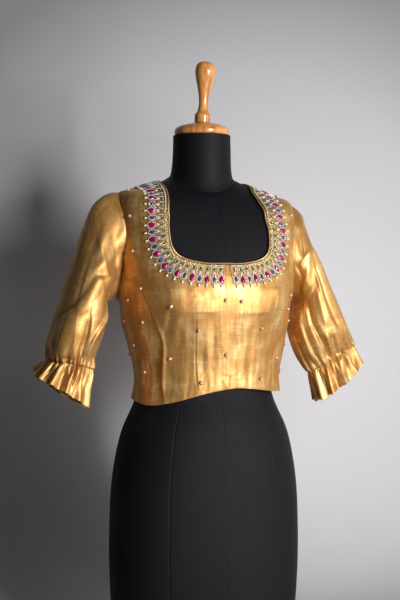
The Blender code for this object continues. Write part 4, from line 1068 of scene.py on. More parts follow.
# ---------------------------------------------------------------- the jewelled border
BORDER_WIDTH = 0.0372     # neck edge to the scallops' peaks
BORDER_BODY = 0.0335      # neck edge to the dips between them
BORDER_IN = 0.0008
BORDER_LIE = 0.0003
BORDER_WALL = 0.0007
BORDER_START = 0.0050     # bare closing either side
BORDER_GAP = 0.0008
STONE_ROW = 0.0268
STONE_PITCH = 0.0124
GREEN_ROW = 0.0095
CLUSTER_ROW = 0.0172
PEARL_ROW = 0.0392
RUBY_HALF = (0.0043, 0.0068)
BLUE_HALF = (0.0027, 0.0046)
GREEN_HALF = (0.0019, 0.0034)
BEAD = 0.00105
SEED = 0.00060
PEARL_DROP = (0.0018, 0.0027, 0.0018)
BEAD_SINK = 0.45          # height of a bead's middle over the band, in its own radii


def teardrop(sides):
    """A drop's outline, its point toward the neck: unit half sizes."""
    angle = np.arange(sides) * TURN / sides
    pinch = 1.0 - 0.42 * smooth_step((-np.cos(angle) + 0.15) / 1.15)
    return np.stack((np.sin(angle) * pinch, np.cos(angle)), axis=1)


def marquise(sides):
    """A stone pointed at both ends: unit half sizes."""
    angle = np.arange(sides) * TURN / sides
    return np.stack((np.sin(angle) * (1.0 - 0.30 * np.cos(angle) ** 2), np.cos(angle)), axis=1)


# A cut stone's rings: share of the outline, height as a share of its rise
STONE_RINGS = ((1.0, 0.0), (1.04, 0.30), (0.96, 0.48), (0.70, 0.84), (0.46, 1.0))


def cut_stone(outline):
    """Points and polygons of a faceted stone over an outline."""
    sides = len(outline)
    points, polygons = [], []
    for row, (share, height) in enumerate(STONE_RINGS):
        ring = outline * share
        if row % 2:
            ring = 0.5 * (ring + np.roll(ring, -1, axis=0))
        points += [(x, y, height) for x, y in ring]
    for row in range(len(STONE_RINGS) - 1):
        for k in range(sides):
            a, b = row * sides + k, row * sides + (k + 1) % sides
            c, d = a + sides, b + sides
            polygons += ([(a, b, c), (b, d, c)] if row % 2 == 0 else [(a, d, c), (a, b, d)])
    polygons.append(tuple(reversed(range(sides))))
    polygons.append(tuple(range(len(points) - sides, len(points))))
    return np.array(points), polygons


OUTWARD_PROBE = 0.001     # step that finds the way out from the neck edge


def strip_frames(strip, lengths, distances, above):
    """Centres on the cloth beside the neck edge with their along, outward and normal axes."""
    lengths, distances = np.broadcast_arrays(np.asarray(lengths, float),
                                             np.asarray(distances, float))
    here = strip.place(lengths, distances)
    beyond = strip.place(lengths, distances + OUTWARD_PROBE)
    centres, normal = on_cloth(here, above), cloth_normals(here)
    outward = unit(on_cloth(beyond, above) - centres)
    along = unit(np.cross(outward, normal))
    return centres, along, outward, np.cross(along, outward)


def bead_shape(size):
    """A unit ball, plainer for the smallest beads."""
    return ball(4, 6) if size > SEED else ball(3, 6)


def add_beads(cluster, strip, lengths, distances, size):
    """Round beads that lie on the border's band."""
    height = BORDER_LIE + BORDER_WALL + BEAD_SINK * size
    centres, *axes = strip_frames(strip, lengths, distances, height)
    cluster.copies(bead_shape(size), centres, even_frames(*axes, (size,) * 3))


def add_stones(cluster, strip, marks, distance, outline, half, rise):
    """Cut stones in a row, all alike."""
    height = BORDER_LIE + BORDER_WALL
    centres, *axes = strip_frames(strip, marks, distance, height)
    cluster.copies(cut_stone(outline), centres, even_frames(*axes, (*half, rise)))


RING_STEP = 0.0004        # spacing of the places a ring's beads are chosen from


def add_ring(cluster, strip, marks, distance, outline, half, margin, size, count):
    """A ring of beads round each stone of a row."""
    grown = np.asarray(half) + margin
    share = (np.arange(count) + 0.5) / count
    ring = resample(np.concatenate((outline, outline[:1])) * grown, RING_STEP)
    picks = ring[(share * len(ring)).astype(int)]
    height = BORDER_LIE + BORDER_WALL + BEAD_SINK * size
    centres, along, outward, normal = strip_frames(strip, marks, distance, height)
    for dx, dy in picks:
        spots = centres + along * dx + outward * dy
        cluster.copies(bead_shape(size), spots,
                       even_frames(along, outward, normal, (size,) * 3))


BAND_STEP = 0.0016        # spacing of the band's points along the neck edge
BAND_ROWS = 15            # rows of points across it


def band(name, strip, first, last, material):
    """The scalloped, embroidered band under the stones."""
    marks = strip.spread_marks(first, last, STONE_ROW, STONE_PITCH)
    lengths = np.linspace(first, last, round((last - first) / BAND_STEP))
    nearest = np.min(np.abs(lengths[:, None] - marks[None, :]), axis=1)
    pitch = (last - first) / len(marks)
    scallop = np.cos(math.pi * np.clip(nearest / pitch, 0.0, 0.5))
    edge = BORDER_BODY + (BORDER_WIDTH - BORDER_BODY) * scallop
    share = np.linspace(0.0, 1.0, BAND_ROWS)[:, None]
    places = strip.place(lengths, BORDER_IN + share * (edge - BORDER_IN)).reshape(-1, 2)
    columns = len(lengths)
    faces = []
    for row in range(BAND_ROWS - 1):
        for k in range(columns - 1):
            a = row * columns + k
            faces += [(a, a + 1, a + columns), (a + 1, a + columns + 1, a + columns)]
    outer = on_cloth(places, BORDER_LIE + BORDER_WALL)
    return walled(name, places, faces, outer, on_cloth(places, UNDER_LIE), material), marks


# Stones of the border: which marks they lie on, kind, outline, row, half sizes, rise
STONES = (
    ("odd", "ruby", teardrop(14), STONE_ROW, RUBY_HALF, 0.0026),
    ("even", "blue", marquise(12), STONE_ROW, BLUE_HALF, 0.0022),
    ("every", "green", marquise(12), GREEN_ROW, GREEN_HALF, 0.0016),
)
# Rings of beads round each kind of stone: kind, beads, gap outside it, bead, number
BEAD_RINGS = (
    ("ruby", "gold", 0.0005, SEED, 22),
    ("ruby", "white", 0.0019, BEAD * 0.85, 16),
    ("blue", "gold", 0.0006, SEED, 15),
    ("blue", "white", 0.0022, BEAD * 0.9, 12),
    ("green", "gold", 0.0007, SEED, 11),
)
# Single beads of each pitch: beads, share of the pitch and length past its mark, row, bead
LONE_BEADS = (
    ("white", 0.0, 0.0000, CLUSTER_ROW, BEAD),
    ("white", 0.0, 0.0013, CLUSTER_ROW - 0.0011, BEAD),
    ("white", 0.0, -0.0013, CLUSTER_ROW - 0.0011, BEAD),
    ("white", 0.0, 0.0015, CLUSTER_ROW + 0.0011, BEAD),
    ("white", 0.0, -0.0015, CLUSTER_ROW + 0.0011, BEAD),
    ("white", 0.0, 0.0000, CLUSTER_ROW - 0.0021, BEAD),
    ("white", 0.5, 0.0000, GREEN_ROW - 0.0022, BEAD * 0.9),
    ("white", 0.5, 0.0000, GREEN_ROW, BEAD * 0.9),
    ("white", 0.5, 0.0000, GREEN_ROW + 0.0022, BEAD * 0.9),
    ("white", 0.5, 0.0000, GREEN_ROW + 0.0045, BEAD * 0.9),
    ("gold", 0.5, 0.0000, CLUSTER_ROW + 0.0030, SEED),
    ("gold", 0.5, 0.0000, CLUSTER_ROW + 0.0052, SEED),
    ("gold", 0.0, 0.0000, PEARL_ROW - 0.0046, SEED),
    ("gold", 0.0, 0.0000, PEARL_ROW - 0.0034, SEED),
)
DROP_LIE = 0.0013         # height of a pearl drop's middle over the band's underside
DROP_IN = 0.0008          # a drop's middle is this far inside the pearls' row
# Close rows of small beads along the neck edge: distance, size, beads
EDGE_BEADS = (
    (0.0017, SEED, "gold"),
    (0.0036, BEAD * 0.85, "white"),
    (0.0053, SEED, "gold"),
)
EDGE_PITCH = 2.35         # spacing of those beads in their own radii


def jewels(strip, marks, stones, beads):
    """Every stone, bead and pearl of one piece of the border."""
    shares = {"odd": marks[::2], "even": marks[1::2], "every": marks}
    for which, kind, outline, row, half, rise in STONES:
        add_stones(stones[kind], strip, shares[which], row, outline, half, rise)
        for stone, bead, margin, size, count in BEAD_RINGS:
            if stone == kind:
                add_ring(beads[bead], strip, shares[which], row, outline, half, margin, size,
                         count)
    for bead, share, past, row, size in LONE_BEADS:
        add_beads(beads[bead], strip, marks + share * (marks[1] - marks[0]) + past, row, size)
    centres, *axes = strip_frames(strip, marks, PEARL_ROW - DROP_IN, BORDER_LIE + DROP_LIE)
    beads["pearl"].copies(ball(6, 9), centres, even_frames(*axes, PEARL_DROP))


def edge_rows(strip, first, last, beads):
    """Close rows of small beads along the neck edge."""
    for distance, size, kind in EDGE_BEADS:
        marks = np.arange(first + size, last - size, EDGE_PITCH * size)
        add_beads(beads[kind], strip, marks, distance, size)


CORD_RADIUS = 0.00075
CORD_TWIST = 0.0042       # length of one turn of its strands
CORD_OUT = 0.0016
CORD_LAY = 0.8            # a strand's distance from the cord's middle, in its own radii
CORD_STEP = 0.0007
CORD_GAP = 0.0006         # between the cord's two ends
CORD_SIDES = 6


def neck_cord(name, strip, material):
    """The gold cord bound round the neck edge: two strands twisted together."""
    marks = np.linspace(CORD_GAP, strip.total - CORD_GAP, round(strip.total / CORD_STEP))
    spots = strip.place(marks, -CORD_OUT)
    centres = blouse_points(spots[:, 0] / PLANE_RADIUS, spots[:, 1])
    normal = cloth_normals(spots)
    across = unit(np.cross(np.gradient(centres, axis=0), normal))
    cord = Cluster()
    for start in (0.0, math.pi):
        turn = (TURN * marks / CORD_TWIST + start)[:, None]
        offset = (across * np.cos(turn) + normal * np.sin(turn)) * CORD_RADIUS * CORD_LAY
        cord.add(*tube_mesh(centres + offset, normal, CORD_RADIUS, CORD_SIDES))
    return cord.build(name, material)


# ---------------------------------------------------------------- pearls sewn on the cloth
# Where they sit on the front and sides: angle in degrees, level
FRONT_PEARLS = (
    (-76.6, 0.7673), (-62.7, 0.7252), (-61.8, 0.6634), (-57.5, 0.5985), (-74.0, 0.5795),
    (-85.8, 0.5440), (-59.7, 0.5433), (-78.3, 0.5037), (-69.9, 0.4582), (-35.8, 0.5692),
    (-19.2, 0.5308), (-42.7, 0.4826), (-19.3, 0.4401), (-2.3, 0.5786), (8.0, 0.5770),
    (24.5, 0.5335), (-0.9, 0.4886), (30.4, 0.4449), (48.9, 0.5878), (47.9, 0.5649),
    (55.4, 0.7407), (74.0, 0.7790), (62.5, 0.6634), (76.0, 0.5440), (66.0, 0.5037),
    (48.0, 0.4820), (72.0, 0.4560), (84.0, 0.5000),
)
BACK_PEARL_ROWS = (0.440, 0.487, 0.534, 0.581, 0.628, 0.668)
BACK_PEARL_STEP = 21.0    # degrees between pearls of a row
BACK_PEARL_SPAN = (112.0, 250.0)    # degrees
PEARL_LIE = 0.0005        # a pearl's lowest point over the cloth, near enough
PEARL_SINK = 0.55         # share of its radius that stands over that point
CUP_LIE = 0.0001
PEARL_SIZE = 0.0028
CUP_SIZE = 0.0036
CUP_SIDES = 18
# A small dish with a rolled lip, as shares of its size: radius, height
CUP_PROFILE = (
    (0.00, 0.00),
    (0.75, 0.02),
    (0.98, 0.18),
    (1.00, 0.34),
    (0.90, 0.42),
    (0.72, 0.30),
    (0.00, 0.16),
)


def pearl_places():
    """Every sewn pearl's place in the plane."""
    spots = list(FRONT_PEARLS)
    for row, level in enumerate(BACK_PEARL_ROWS):
        start = BACK_PEARL_SPAN[0] + (0.5 * BACK_PEARL_STEP if row % 2 else 0.0)
        spots += [(angle, level)
                  for angle in np.arange(start, BACK_PEARL_SPAN[1], BACK_PEARL_STEP)]
    table = np.radians(np.array(spots)[:, 0]) * PLANE_RADIUS
    return np.stack((table, np.array(spots)[:, 1]), axis=1)


def sewn_pearls(pearl, gold):
    """The scattered pearls, each in a gold cup."""
    places = pearl_places()
    normal = cloth_normals(places)
    along = unit(np.cross(np.array((0.0, 0.0, 1.0)), normal))
    up = np.cross(normal, along)
    balls, cups = Cluster(), Cluster()
    balls.copies(ball(8, 14), on_cloth(places, PEARL_SINK * PEARL_SIZE + PEARL_LIE),
                 even_frames(along, up, normal, (PEARL_SIZE,) * 3))
    cups.copies(turned_shape(CUP_PROFILE, CUP_SIDES), on_cloth(places, CUP_LIE),
                even_frames(along, up, normal, (CUP_SIZE,) * 3))
    return balls.build("sewn_pearls", pearl), cups.build("pearl_cups", gold)


# ---------------------------------------------------------------- sleeves and frills
# The sleeve's edge is turned in under the panels round the armhole: how far it reaches
# past their edge, depth below their outside
ARMHOLE_TURN = ((0.0030, 0.0018), (0.0004, 0.0023), (-0.0006, 0.0012))
ARMHOLE_IN = -0.0010
ARMHOLE_DEPTH = 0.0002
SLEEVE_SIDES = 336
SLEEVE_ROWS = 90
SLEEVE_CROWDING = 1.25    # above 1, the rows lie closer toward the cuff
ARC = 0.00092             # metres of cloth for each degree round a sleeve
LENGTH = 0.300            # metres of cloth along a sleeve
SLEEVE_REACH = 0.060      # a sleeve's depth, for the waves in its cloth
SLEEVE_RIPPLE = 0.0009
SLEEVE_CRUMPLE = 0.0007
HEAD_SHARE = 0.05         # folds rise over this share of a sleeve's length
HEAD_SEAM = (0.012, 0.0006)     # the armhole's seam: share of the length, depth
# Sections of a sleeve below the armhole; "out" is the distance from the middle of the body.
# top_out, top_z, under_out, under_z, fore, aft, mid_y
SLEEVE_RIGHT = (
    (0.1700, 0.7630, 0.1610, 0.5820, 0.049, 0.053, 0.003),
    (0.1890, 0.7520, 0.1680, 0.5810, 0.053, 0.056, 0.001),
    (0.2040, 0.7350, 0.1740, 0.5795, 0.056, 0.057, -0.001),
    (0.2140, 0.7110, 0.1790, 0.5770, 0.058, 0.058, -0.003),
    (0.2240, 0.6850, 0.1825, 0.5730, 0.059, 0.059, -0.005),
    (0.2345, 0.6560, 0.1840, 0.5670, 0.060, 0.060, -0.007),
    (0.2580, 0.5870, 0.1850, 0.5450, 0.061, 0.060, -0.011),
    (0.2700, 0.5540, 0.1885, 0.5290, 0.060, 0.059, -0.012),
    (0.2800, 0.5230, 0.1940, 0.5090, 0.056, 0.056, -0.013),
    (0.2840, 0.5010, 0.2010, 0.4890, 0.050, 0.050, -0.0135),
    (0.2820, 0.4870, 0.2070, 0.4730, 0.044, 0.044, -0.014),
    (0.2790, 0.4800, 0.2110, 0.4620, 0.041, 0.041, -0.014),
)
SLEEVE_LEFT = (
    (0.1690, 0.7390, 0.1610, 0.5820, 0.056, 0.053, 0.001),
    (0.1765, 0.7200, 0.1640, 0.5800, 0.058, 0.054, -0.001),
    (0.1845, 0.7000, 0.1655, 0.5765, 0.058, 0.055, -0.003),
    (0.1950, 0.6770, 0.1660, 0.5715, 0.057, 0.055, -0.005),
    (0.2070, 0.6530, 0.1650, 0.5650, 0.056, 0.054, -0.007),
    (0.2200, 0.6260, 0.1625, 0.5565, 0.055, 0.054, -0.009),
    (0.2450, 0.5730, 0.1575, 0.5330, 0.052, 0.052, -0.012),
    (0.2575, 0.5460, 0.1565, 0.5180, 0.050, 0.050, -0.013),
    (0.2680, 0.5240, 0.1600, 0.5000, 0.046, 0.046, -0.0135),
    (0.2745, 0.5100, 0.1690, 0.4800, 0.039, 0.039, -0.0135),
    (0.2765, 0.5040, 0.1815, 0.4630, 0.033, 0.033, -0.0135),
    (0.2750, 0.5005, 0.1925, 0.4510, 0.029, 0.029, -0.0135),
)
# Soft folds of a sleeve, down its length: angle round it in degrees from the overarm line
# toward the front, share of its length, the same at the end, width toward the overarm line
# and away from it in metres, and height.
FOLDS_RIGHT = (
    (48.0, 0.03, 44.0, 0.52, 0.0210, 0.0210, -0.0062),
    (118.0, 0.02, 120.0, 0.46, 0.0200, 0.0200, 0.0052),
    (62.0, 0.02, 80.0, 0.13, 0.0090, 0.0070, -0.0020),
    (80.0, 0.13, 86.0, 0.24, 0.0110, 0.0080, -0.0028),
    (86.0, 0.24, 74.0, 0.40, 0.0110, 0.0080, -0.0028),
    (74.0, 0.40, 56.0, 0.54, 0.0100, 0.0080, -0.0020),
    (94.0, 0.03, 106.0, 0.13, 0.0080, 0.0060, -0.0020),
    (106.0, 0.13, 110.0, 0.25, 0.0090, 0.0064, -0.0028),
    (110.0, 0.25, 98.0, 0.42, 0.0100, 0.0064, -0.0034),
    (98.0, 0.42, 74.0, 0.52, 0.0065, 0.0038, -0.0040),
    (74.0, 0.52, 44.0, 0.61, 0.0065, 0.0040, -0.0036),
    (44.0, 0.61, 6.0, 0.73, 0.0065, 0.0040, -0.0026),
    (112.0, 0.50, 94.0, 0.56, 0.0040, 0.0050, -0.0018),
    (94.0, 0.56, 70.0, 0.62, 0.0040, 0.0050, -0.0014),
    (136.0, 0.10, 134.0, 0.46, 0.0070, 0.0060, -0.0022),
    (92.0, 0.63, 101.0, 0.75, 0.0090, 0.0032, -0.0046),
    (101.0, 0.75, 101.0, 0.88, 0.0110, 0.0032, -0.0078),
    (101.0, 0.88, 90.0, 0.98, 0.0090, 0.0046, -0.0050),
    (146.0, 0.53, 128.0, 0.65, 0.0032, 0.0180, 0.0056),
    (128.0, 0.65, 115.0, 0.76, 0.0032, 0.0160, 0.0062),
    (115.0, 0.76, 116.0, 0.92, 0.0040, 0.0110, 0.0040),
    (52.0, 0.62, 46.0, 0.92, 0.0130, 0.0260, 0.0066),
    (205.0, 0.25, 236.0, 0.92, 0.0120, 0.0100, 0.0034),
    (236.0, 0.12, 262.0, 0.80, 0.0070, 0.0090, -0.0026),
    (286.0, 0.15, 304.0, 0.86, 0.0120, 0.0120, 0.0030),
    (322.0, 0.30, 336.0, 0.88, 0.0080, 0.0080, -0.0020),
)
FOLDS_LEFT = (
    (60.0, 0.02, 92.0, 0.10, 0.0090, 0.0050, -0.0026),
    (112.0, 0.02, 118.0, 0.14, 0.0050, 0.0060, -0.0026),
    (60.0, 0.22, 48.0, 0.40, 0.0060, 0.0100, 0.0034),
    (48.0, 0.40, 50.0, 0.52, 0.0060, 0.0100, 0.0034),
    (50.0, 0.52, 40.0, 0.78, 0.0060, 0.0090, 0.0030),
    (70.0, 0.30, 72.0, 0.52, 0.0045, 0.0045, -0.0024),
    (72.0, 0.52, 62.0, 0.72, 0.0045, 0.0045, -0.0020),
    (82.0, 0.33, 84.0, 0.54, 0.0040, 0.0045, 0.0016),
    (84.0, 0.54, 72.0, 0.72, 0.0040, 0.0045, 0.0014),
    (118.0, 0.18, 115.0, 0.44, 0.0130, 0.0140, 0.0034),
    (96.0, 0.48, 90.0, 0.66, 0.0080, 0.0060, 0.0026),
    (134.0, 0.46, 120.0, 0.60, 0.0070, 0.0040, -0.0036),
    (120.0, 0.60, 106.0, 0.80, 0.0075, 0.0036, -0.0050),
    (106.0, 0.80, 106.0, 0.97, 0.0060, 0.0040, -0.0042),
    (86.0, 0.72, 85.0, 0.96, 0.0060, 0.0036, -0.0036),
    (148.0, 0.52, 138.0, 0.70, 0.0036, 0.0090, 0.0038),
    (138.0, 0.70, 130.0, 0.95, 0.0036, 0.0080, 0.0038),
    (164.0, 0.66, 156.0, 0.84, 0.0060, 0.0040, -0.0034),
    (156.0, 0.84, 160.0, 0.97, 0.0050, 0.0040, -0.0032),
    (96.0, 0.70, 95.0, 0.94, 0.0050, 0.0050, 0.0028),
    (62.0, 0.78, 66.0, 0.96, 0.0050, 0.0040, -0.0026),
    (170.0, 0.10, 172.0, 0.52, 0.0080, 0.0080, 0.0020),
    (205.0, 0.25, 232.0, 0.92, 0.0110, 0.0100, 0.0034),
    (240.0, 0.12, 262.0, 0.80, 0.0070, 0.0090, -0.0026),
    (286.0, 0.15, 304.0, 0.86, 0.0120, 0.0110, 0.0030),
    (326.0, 0.30, 338.0, 0.88, 0.0080, 0.0080, -0.0020),
)
# Pressed edges of the sleeves, in the same columns
PRESSED_RIGHT = (
    (58.0, 0.55, 84.0, 0.90, 0.0060, 0.0100, 0.0010),
    (18.0, 0.04, 10.0, 0.58, 0.0090, 0.0110, 0.0024),
)
PRESSED_LEFT = (
    (110.0, 0.06, 90.0, 0.14, 0.0050, 0.0110, 0.0030),
    (90.0, 0.14, 66.0, 0.24, 0.0040, 0.0120, 0.0034),
    (72.0, 0.26, 84.0, 0.62, 0.0060, 0.0070, 0.0012),
    (18.0, 0.05, 14.0, 0.70, 0.0090, 0.0090, 0.0012),
)
FRILL_SIDES = 440
FRILL_ROWS = 24
FRILL_WAVES = 12
FRILL_LENGTH = 0.062
# Lower edge of a frill: top_out, top_z, under_out, under_z, half_depth, mid_y, wave
FRILL_RIGHT = (0.3070, 0.4500, 0.2170, 0.3980, 0.049, -0.014, 0.0064)
FRILL_LEFT = (0.2920, 0.4650, 0.2070, 0.3990, 0.037, -0.015, 0.0066)
FRILL_RISE_AT = 322.0     # degrees round the cuff where a frill turns up at the back
FRILL_RISE = {-1: 0.018, 1: 0.004}
FRILL_RISE_SPREAD = 0.5   # radians
FRILL_EDGE_LIFT = (0.0006, 0.0002)      # broad and fine waves of the raw edge
FRILL_FLARE = 1.1         # above 1, its waves grow late
FRILL_START = 0.0005      # it starts this far below the elastic
FRILL_CROWDING = 1.2      # above 1, its rows lie closer toward the elastic
CUFF_SHARES = (0.97, 1.0)       # two rings of a sleeve that give the cuff's direction
SLEEVE_TABLES = {
    -1: (SLEEVE_RIGHT, FOLDS_RIGHT, PRESSED_RIGHT, FRILL_RIGHT),
    1: (SLEEVE_LEFT, FOLDS_LEFT, PRESSED_LEFT, FRILL_LEFT),
}


# Gathers at an elastic line: how many round the cuff, height, distance of their deepest part
# from the line, reach from there
GATHERS = (
    (11, 0.0050, 0.020, 0.042),
    (23, 0.0064, 0.011, 0.026),
    (47, 0.0028, 0.000, 0.012),
)
GATHERS_LIFT = {-1: 1.6, 1: 1.0}   # the right sleeve's gathers stand higher
GATHERS_EDGE = 0.85       # below 1, their ridges are sharper
GATHERS_LEVEL = 0.55      # share of their height that lies inward
ELASTIC_PULL = 0.0012     # how far the elastic draws the cloth in
ELASTIC_REACH = 0.0050


def gathers(angle, side, away):
    """Relief of the gathers at angles and at distances from the elastic line."""
    turn = np.radians(angle)
    total = -ELASTIC_PULL * bell(away, ELASTIC_REACH)
    for count, height, place, reach in GATHERS:
        phase = 0.6 * np.sin(2.0 * turn + side + count) + 0.4 * np.sin(5.0 * turn + 2.0 * side)
        ridges = np.abs(np.sin(0.5 * count * turn + phase)) ** GATHERS_EDGE - GATHERS_LEVEL
        uneven = 0.70 + 0.30 * np.sin(3.0 * turn + count) * np.cos(4.0 * turn + 1.7 * side)
        local = reach * (0.90 + 0.30 * np.sin(7.0 * turn + count) * np.sin(4.0 * turn + side))
        total = total + ridges * uneven * height * GATHERS_LIFT[side] * bell(away - place, local)
    return total


def sleeve_relief(angle, part, side):
    """How far a sleeve's cloth stands out from its plain sections."""
    _, folds, pressed, _ = SLEEVE_TABLES[side]
    scale = np.array((ARC, LENGTH, ARC, LENGTH, 1.0, 1.0, 1.0))
    total = np.zeros_like(angle)
    for shift in (-360.0, 0.0, 360.0):
        across, along = (angle + shift) * ARC, part * LENGTH
        total = total + crease_height(across, along, np.array(folds) * scale)
        total = total + crease_height(across, along, np.array(pressed) * scale, pressed=True)
    across, along = np.sin(np.radians(angle)) * SLEEVE_REACH, part * LENGTH
    total = total + ripple(across, along, 1.3 * side) * SLEEVE_RIPPLE
    total = total + crumple(across, along, 2.1 * side) * SLEEVE_CRUMPLE
    seam = bell(part, HEAD_SEAM[0]) * HEAD_SEAM[1]
    head = smooth_step(part / HEAD_SHARE)
    return total * head + gathers(angle, side, (1.0 - part) * LENGTH) - seam


ARMHOLE_POINT_GAP = 0.0015      # between points of an armhole's edge


def armhole_loop(side, angle, grow=ARMHOLE_IN, depth=ARMHOLE_DEPTH):
    """The armhole in space at angles from its top, down the front edge and up the back."""
    front, back = (spline(half, ARMHOLE_POINT_GAP) for half in armhole(side))
    marks = []
    for chain in (front, back):
        sums = run_lengths(chain)
        marks.append(sums / sums[-1])
    share = np.where(angle < 180.0, angle / 180.0, 2.0 - angle / 180.0)
    columns = []
    for k in range(2):
        columns.append(np.where(angle < 180.0, np.interp(share, marks[0], front[:, k]),
                                np.interp(share, marks[1], back[:, k])))
    places = np.stack(columns, axis=-1)
    return on_cloth(places + unit(places - places.mean(axis=0)) * grow, -depth)


def section(top, under, fore, aft, angle):
    """Points of an oval section between its overarm and underarm points."""
    turn = np.radians(angle)[:, None]
    depth = np.where(np.sin(turn) > 0.0, fore, aft)
    middle = (top + under) * 0.5
    return middle + (top - under) * 0.5 * np.cos(turn) - np.array((0.0, 1.0, 0.0)) * (
        depth * np.sin(turn))


def control_rings(side, angle):
    """A sleeve's plain sections at angles, armhole first."""
    rows = SLEEVE_TABLES[side][0]
    loop = armhole_loop(side, angle)
    top_point, low_point = armhole_loop(side, np.array((0.0, 180.0)))
    plain_top = np.array((top_point[0], 0.0, top_point[2]))
    plain_low = np.array((low_point[0], 0.0, low_point[2]))
    rings = [loop]
    for number, (top_out, top_z, low_out, low_z, fore, aft, mid_y) in enumerate(rows):
        plain = section(plain_top, plain_low, fore, aft, angle)
        plain[:, 1] += top_point[1]
        offset = (loop - plain) * max(0.0, 1.0 - (number + 1) / 4.0)
        offset[:, 2] *= 0.5
        top = np.array((side * top_out, mid_y, top_z))
        low = np.array((side * low_out, mid_y, low_z))
        rings.append(section(top, low, fore, aft, angle) + offset)
    return np.stack(rings)


def smooth_rings(rings, part):
    """Rings at shares of the length, on smooth curves through the control rings."""
    last = len(rings) - 1
    place = np.clip(part, 0.0, 1.0) * last
    low = np.minimum(place.astype(int), last - 1)
    t = (place - low)[:, None, None]
    start, end = rings[low], rings[low + 1]
    leave = (end - rings[np.maximum(low - 1, 0)]) * 0.5
    arrive = (rings[np.minimum(low + 2, last)] - start) * 0.5
    return hermite(t, start, end, leave, arrive)


def ring_normals(rings, side):
    """Outward directions at every point of a tube of rings."""
    around = np.roll(rings, -1, axis=1) - np.roll(rings, 1, axis=1)
    along = np.gradient(rings, axis=0)
    return unit(np.cross(along, around) * -side)


def sleeve_rings(side, angle, part):
    """The outer surface of a sleeve, folded and gathered."""
    plain = smooth_rings(control_rings(side, angle), part)
    relief = sleeve_relief(angle[None, :] + np.zeros_like(part)[:, None],
                           part[:, None] + np.zeros_like(angle)[None, :], side)
    return plain + ring_normals(plain, side) * relief[..., None]


def frill_rings(side, first, angle, part):
    """The outer surface of a frill, from the elastic line to its raw edge."""
    top_out, top_z, low_out, low_z, half_depth, mid_y, wave = SLEEVE_TABLES[side][3]
    top, low = np.array((side * top_out, mid_y, top_z)), np.array((side * low_out, mid_y, low_z))
    end = section(top, low, half_depth, half_depth, angle)
    centre = 0.5 * (top + low)
    drop = unit(centre - first.mean(axis=0))
    away = unit(end - centre)
    turn = np.radians(angle)
    phase = FRILL_WAVES * turn + 0.7 * np.sin(2.0 * turn + side)
    swing = np.cos(phase) + 0.12 * np.cos(2.0 * phase + 0.8) + 0.12 * np.sin(5.0 * turn + side)
    size = wave * (0.80 + 0.20 * np.sin(3.0 * turn + 2.0 * side))
    broad, fine = FRILL_EDGE_LIFT
    lift = broad * np.sin(phase + 1.1) + fine * np.sin(37.0 * turn)
    start = gathers(angle, side, np.zeros_like(angle))
    turned_up = np.array((0.0, 0.0, FRILL_RISE[side])) * bell(
        wrap(turn - math.radians(FRILL_RISE_AT)), FRILL_RISE_SPREAD)[:, None]
    top_ring = first + drop * FRILL_START
    rings = []
    for share in part:
        puckers = gathers(angle, side, np.full_like(angle, share * FRILL_LENGTH))
        out = swing * size * share ** FRILL_FLARE + puckers - start * (1.0 - share)
        ring = top_ring + (end - top_ring) * share
        rings.append(ring + away * out[:, None] - drop * (lift * share)[:, None]
                     + turned_up * share)
    return np.stack(rings)


def ring_piece(name, rings, along, cloth, side, material, squared=(0, -1)):
    """An open tube of cloth with a wall, cut square across at its first and last rings."""
    rows, count = rings.shape[:2]
    normals = ring_normals(rings, side)
    for row in squared:
        edge = rings[1] - rings[0] if row == 0 else rings[-1] - rings[-2]
        axis = unit(edge.mean(axis=0))
        lean = normals[row] @ axis
        normals[row] = unit(normals[row] - lean[:, None] * axis)
    outer, inner = rings.reshape(-1, 3), (rings - normals * cloth).reshape(-1, 3)
    total, last = rows * count, (rows - 1) * count
    polygons = ring_quads(rows, count)
    polygons += [tuple(reversed(quad)) for quad in ring_quads(rows, count, total)]
    for k in range(count):
        after = (k + 1) % count
        polygons.append((k, total + k, total + after, after))
        polygons.append((last + k, last + after, total + last + after, total + last + k))
    angle = np.arange(count) * 360.0 / count * ARC
    uv = np.stack(np.broadcast_arrays(angle[None, :], along[:, None]), axis=-1).reshape(-1, 2)
    return new_object(name, np.concatenate((outer, inner)), polygons, material,
                      np.concatenate((uv, uv + (0.5, 0.5))))


SHIRRING_SPAN = 6         # points of the cuff's ring for each stitch and its gap
SHIRRING_THREAD = 1.3     # its thickness in threads
SHIRRING_LIE = 1.6        # its height over the cloth in threads


def shirring(name, ring, thread):
    """Stitches of the elastic line round a cuff."""
    centre = ring.mean(axis=0)
    cluster = Cluster()
    for index in range(0, len(ring) - SHIRRING_SPAN, SHIRRING_SPAN):
        spots = ring[index:index + SHIRRING_SPAN - 1]
        outward = unit(spots - centre)
        cluster.add(*tube_mesh(spots + outward * THREAD * SHIRRING_LIE, outward,
                               THREAD * SHIRRING_THREAD, THREAD_SIDES))
    return cluster.build(name, thread)


# Loose threads at the raw edge of a cuff: share round the frill, length, sideways drift
LOOSE_THREADS = (
    (0.375, 0.0065, 0.0012), (0.381, 0.0045, -0.0016), (0.390, 0.0080, 0.0022),
    (0.398, 0.0050, 0.0030), (0.405, 0.0070, -0.0010), (0.340, 0.0040, 0.0018),
    (0.352, 0.0055, -0.0014), (0.120, 0.0040, 0.0015), (0.700, 0.0060, -0.0020),
)


LOOSE_POINTS = 7
LOOSE_RADIUS = 0.00016
LOOSE_BACK = 0.0004       # how far an end leans back
LOOSE_CURL = 3.0          # radians


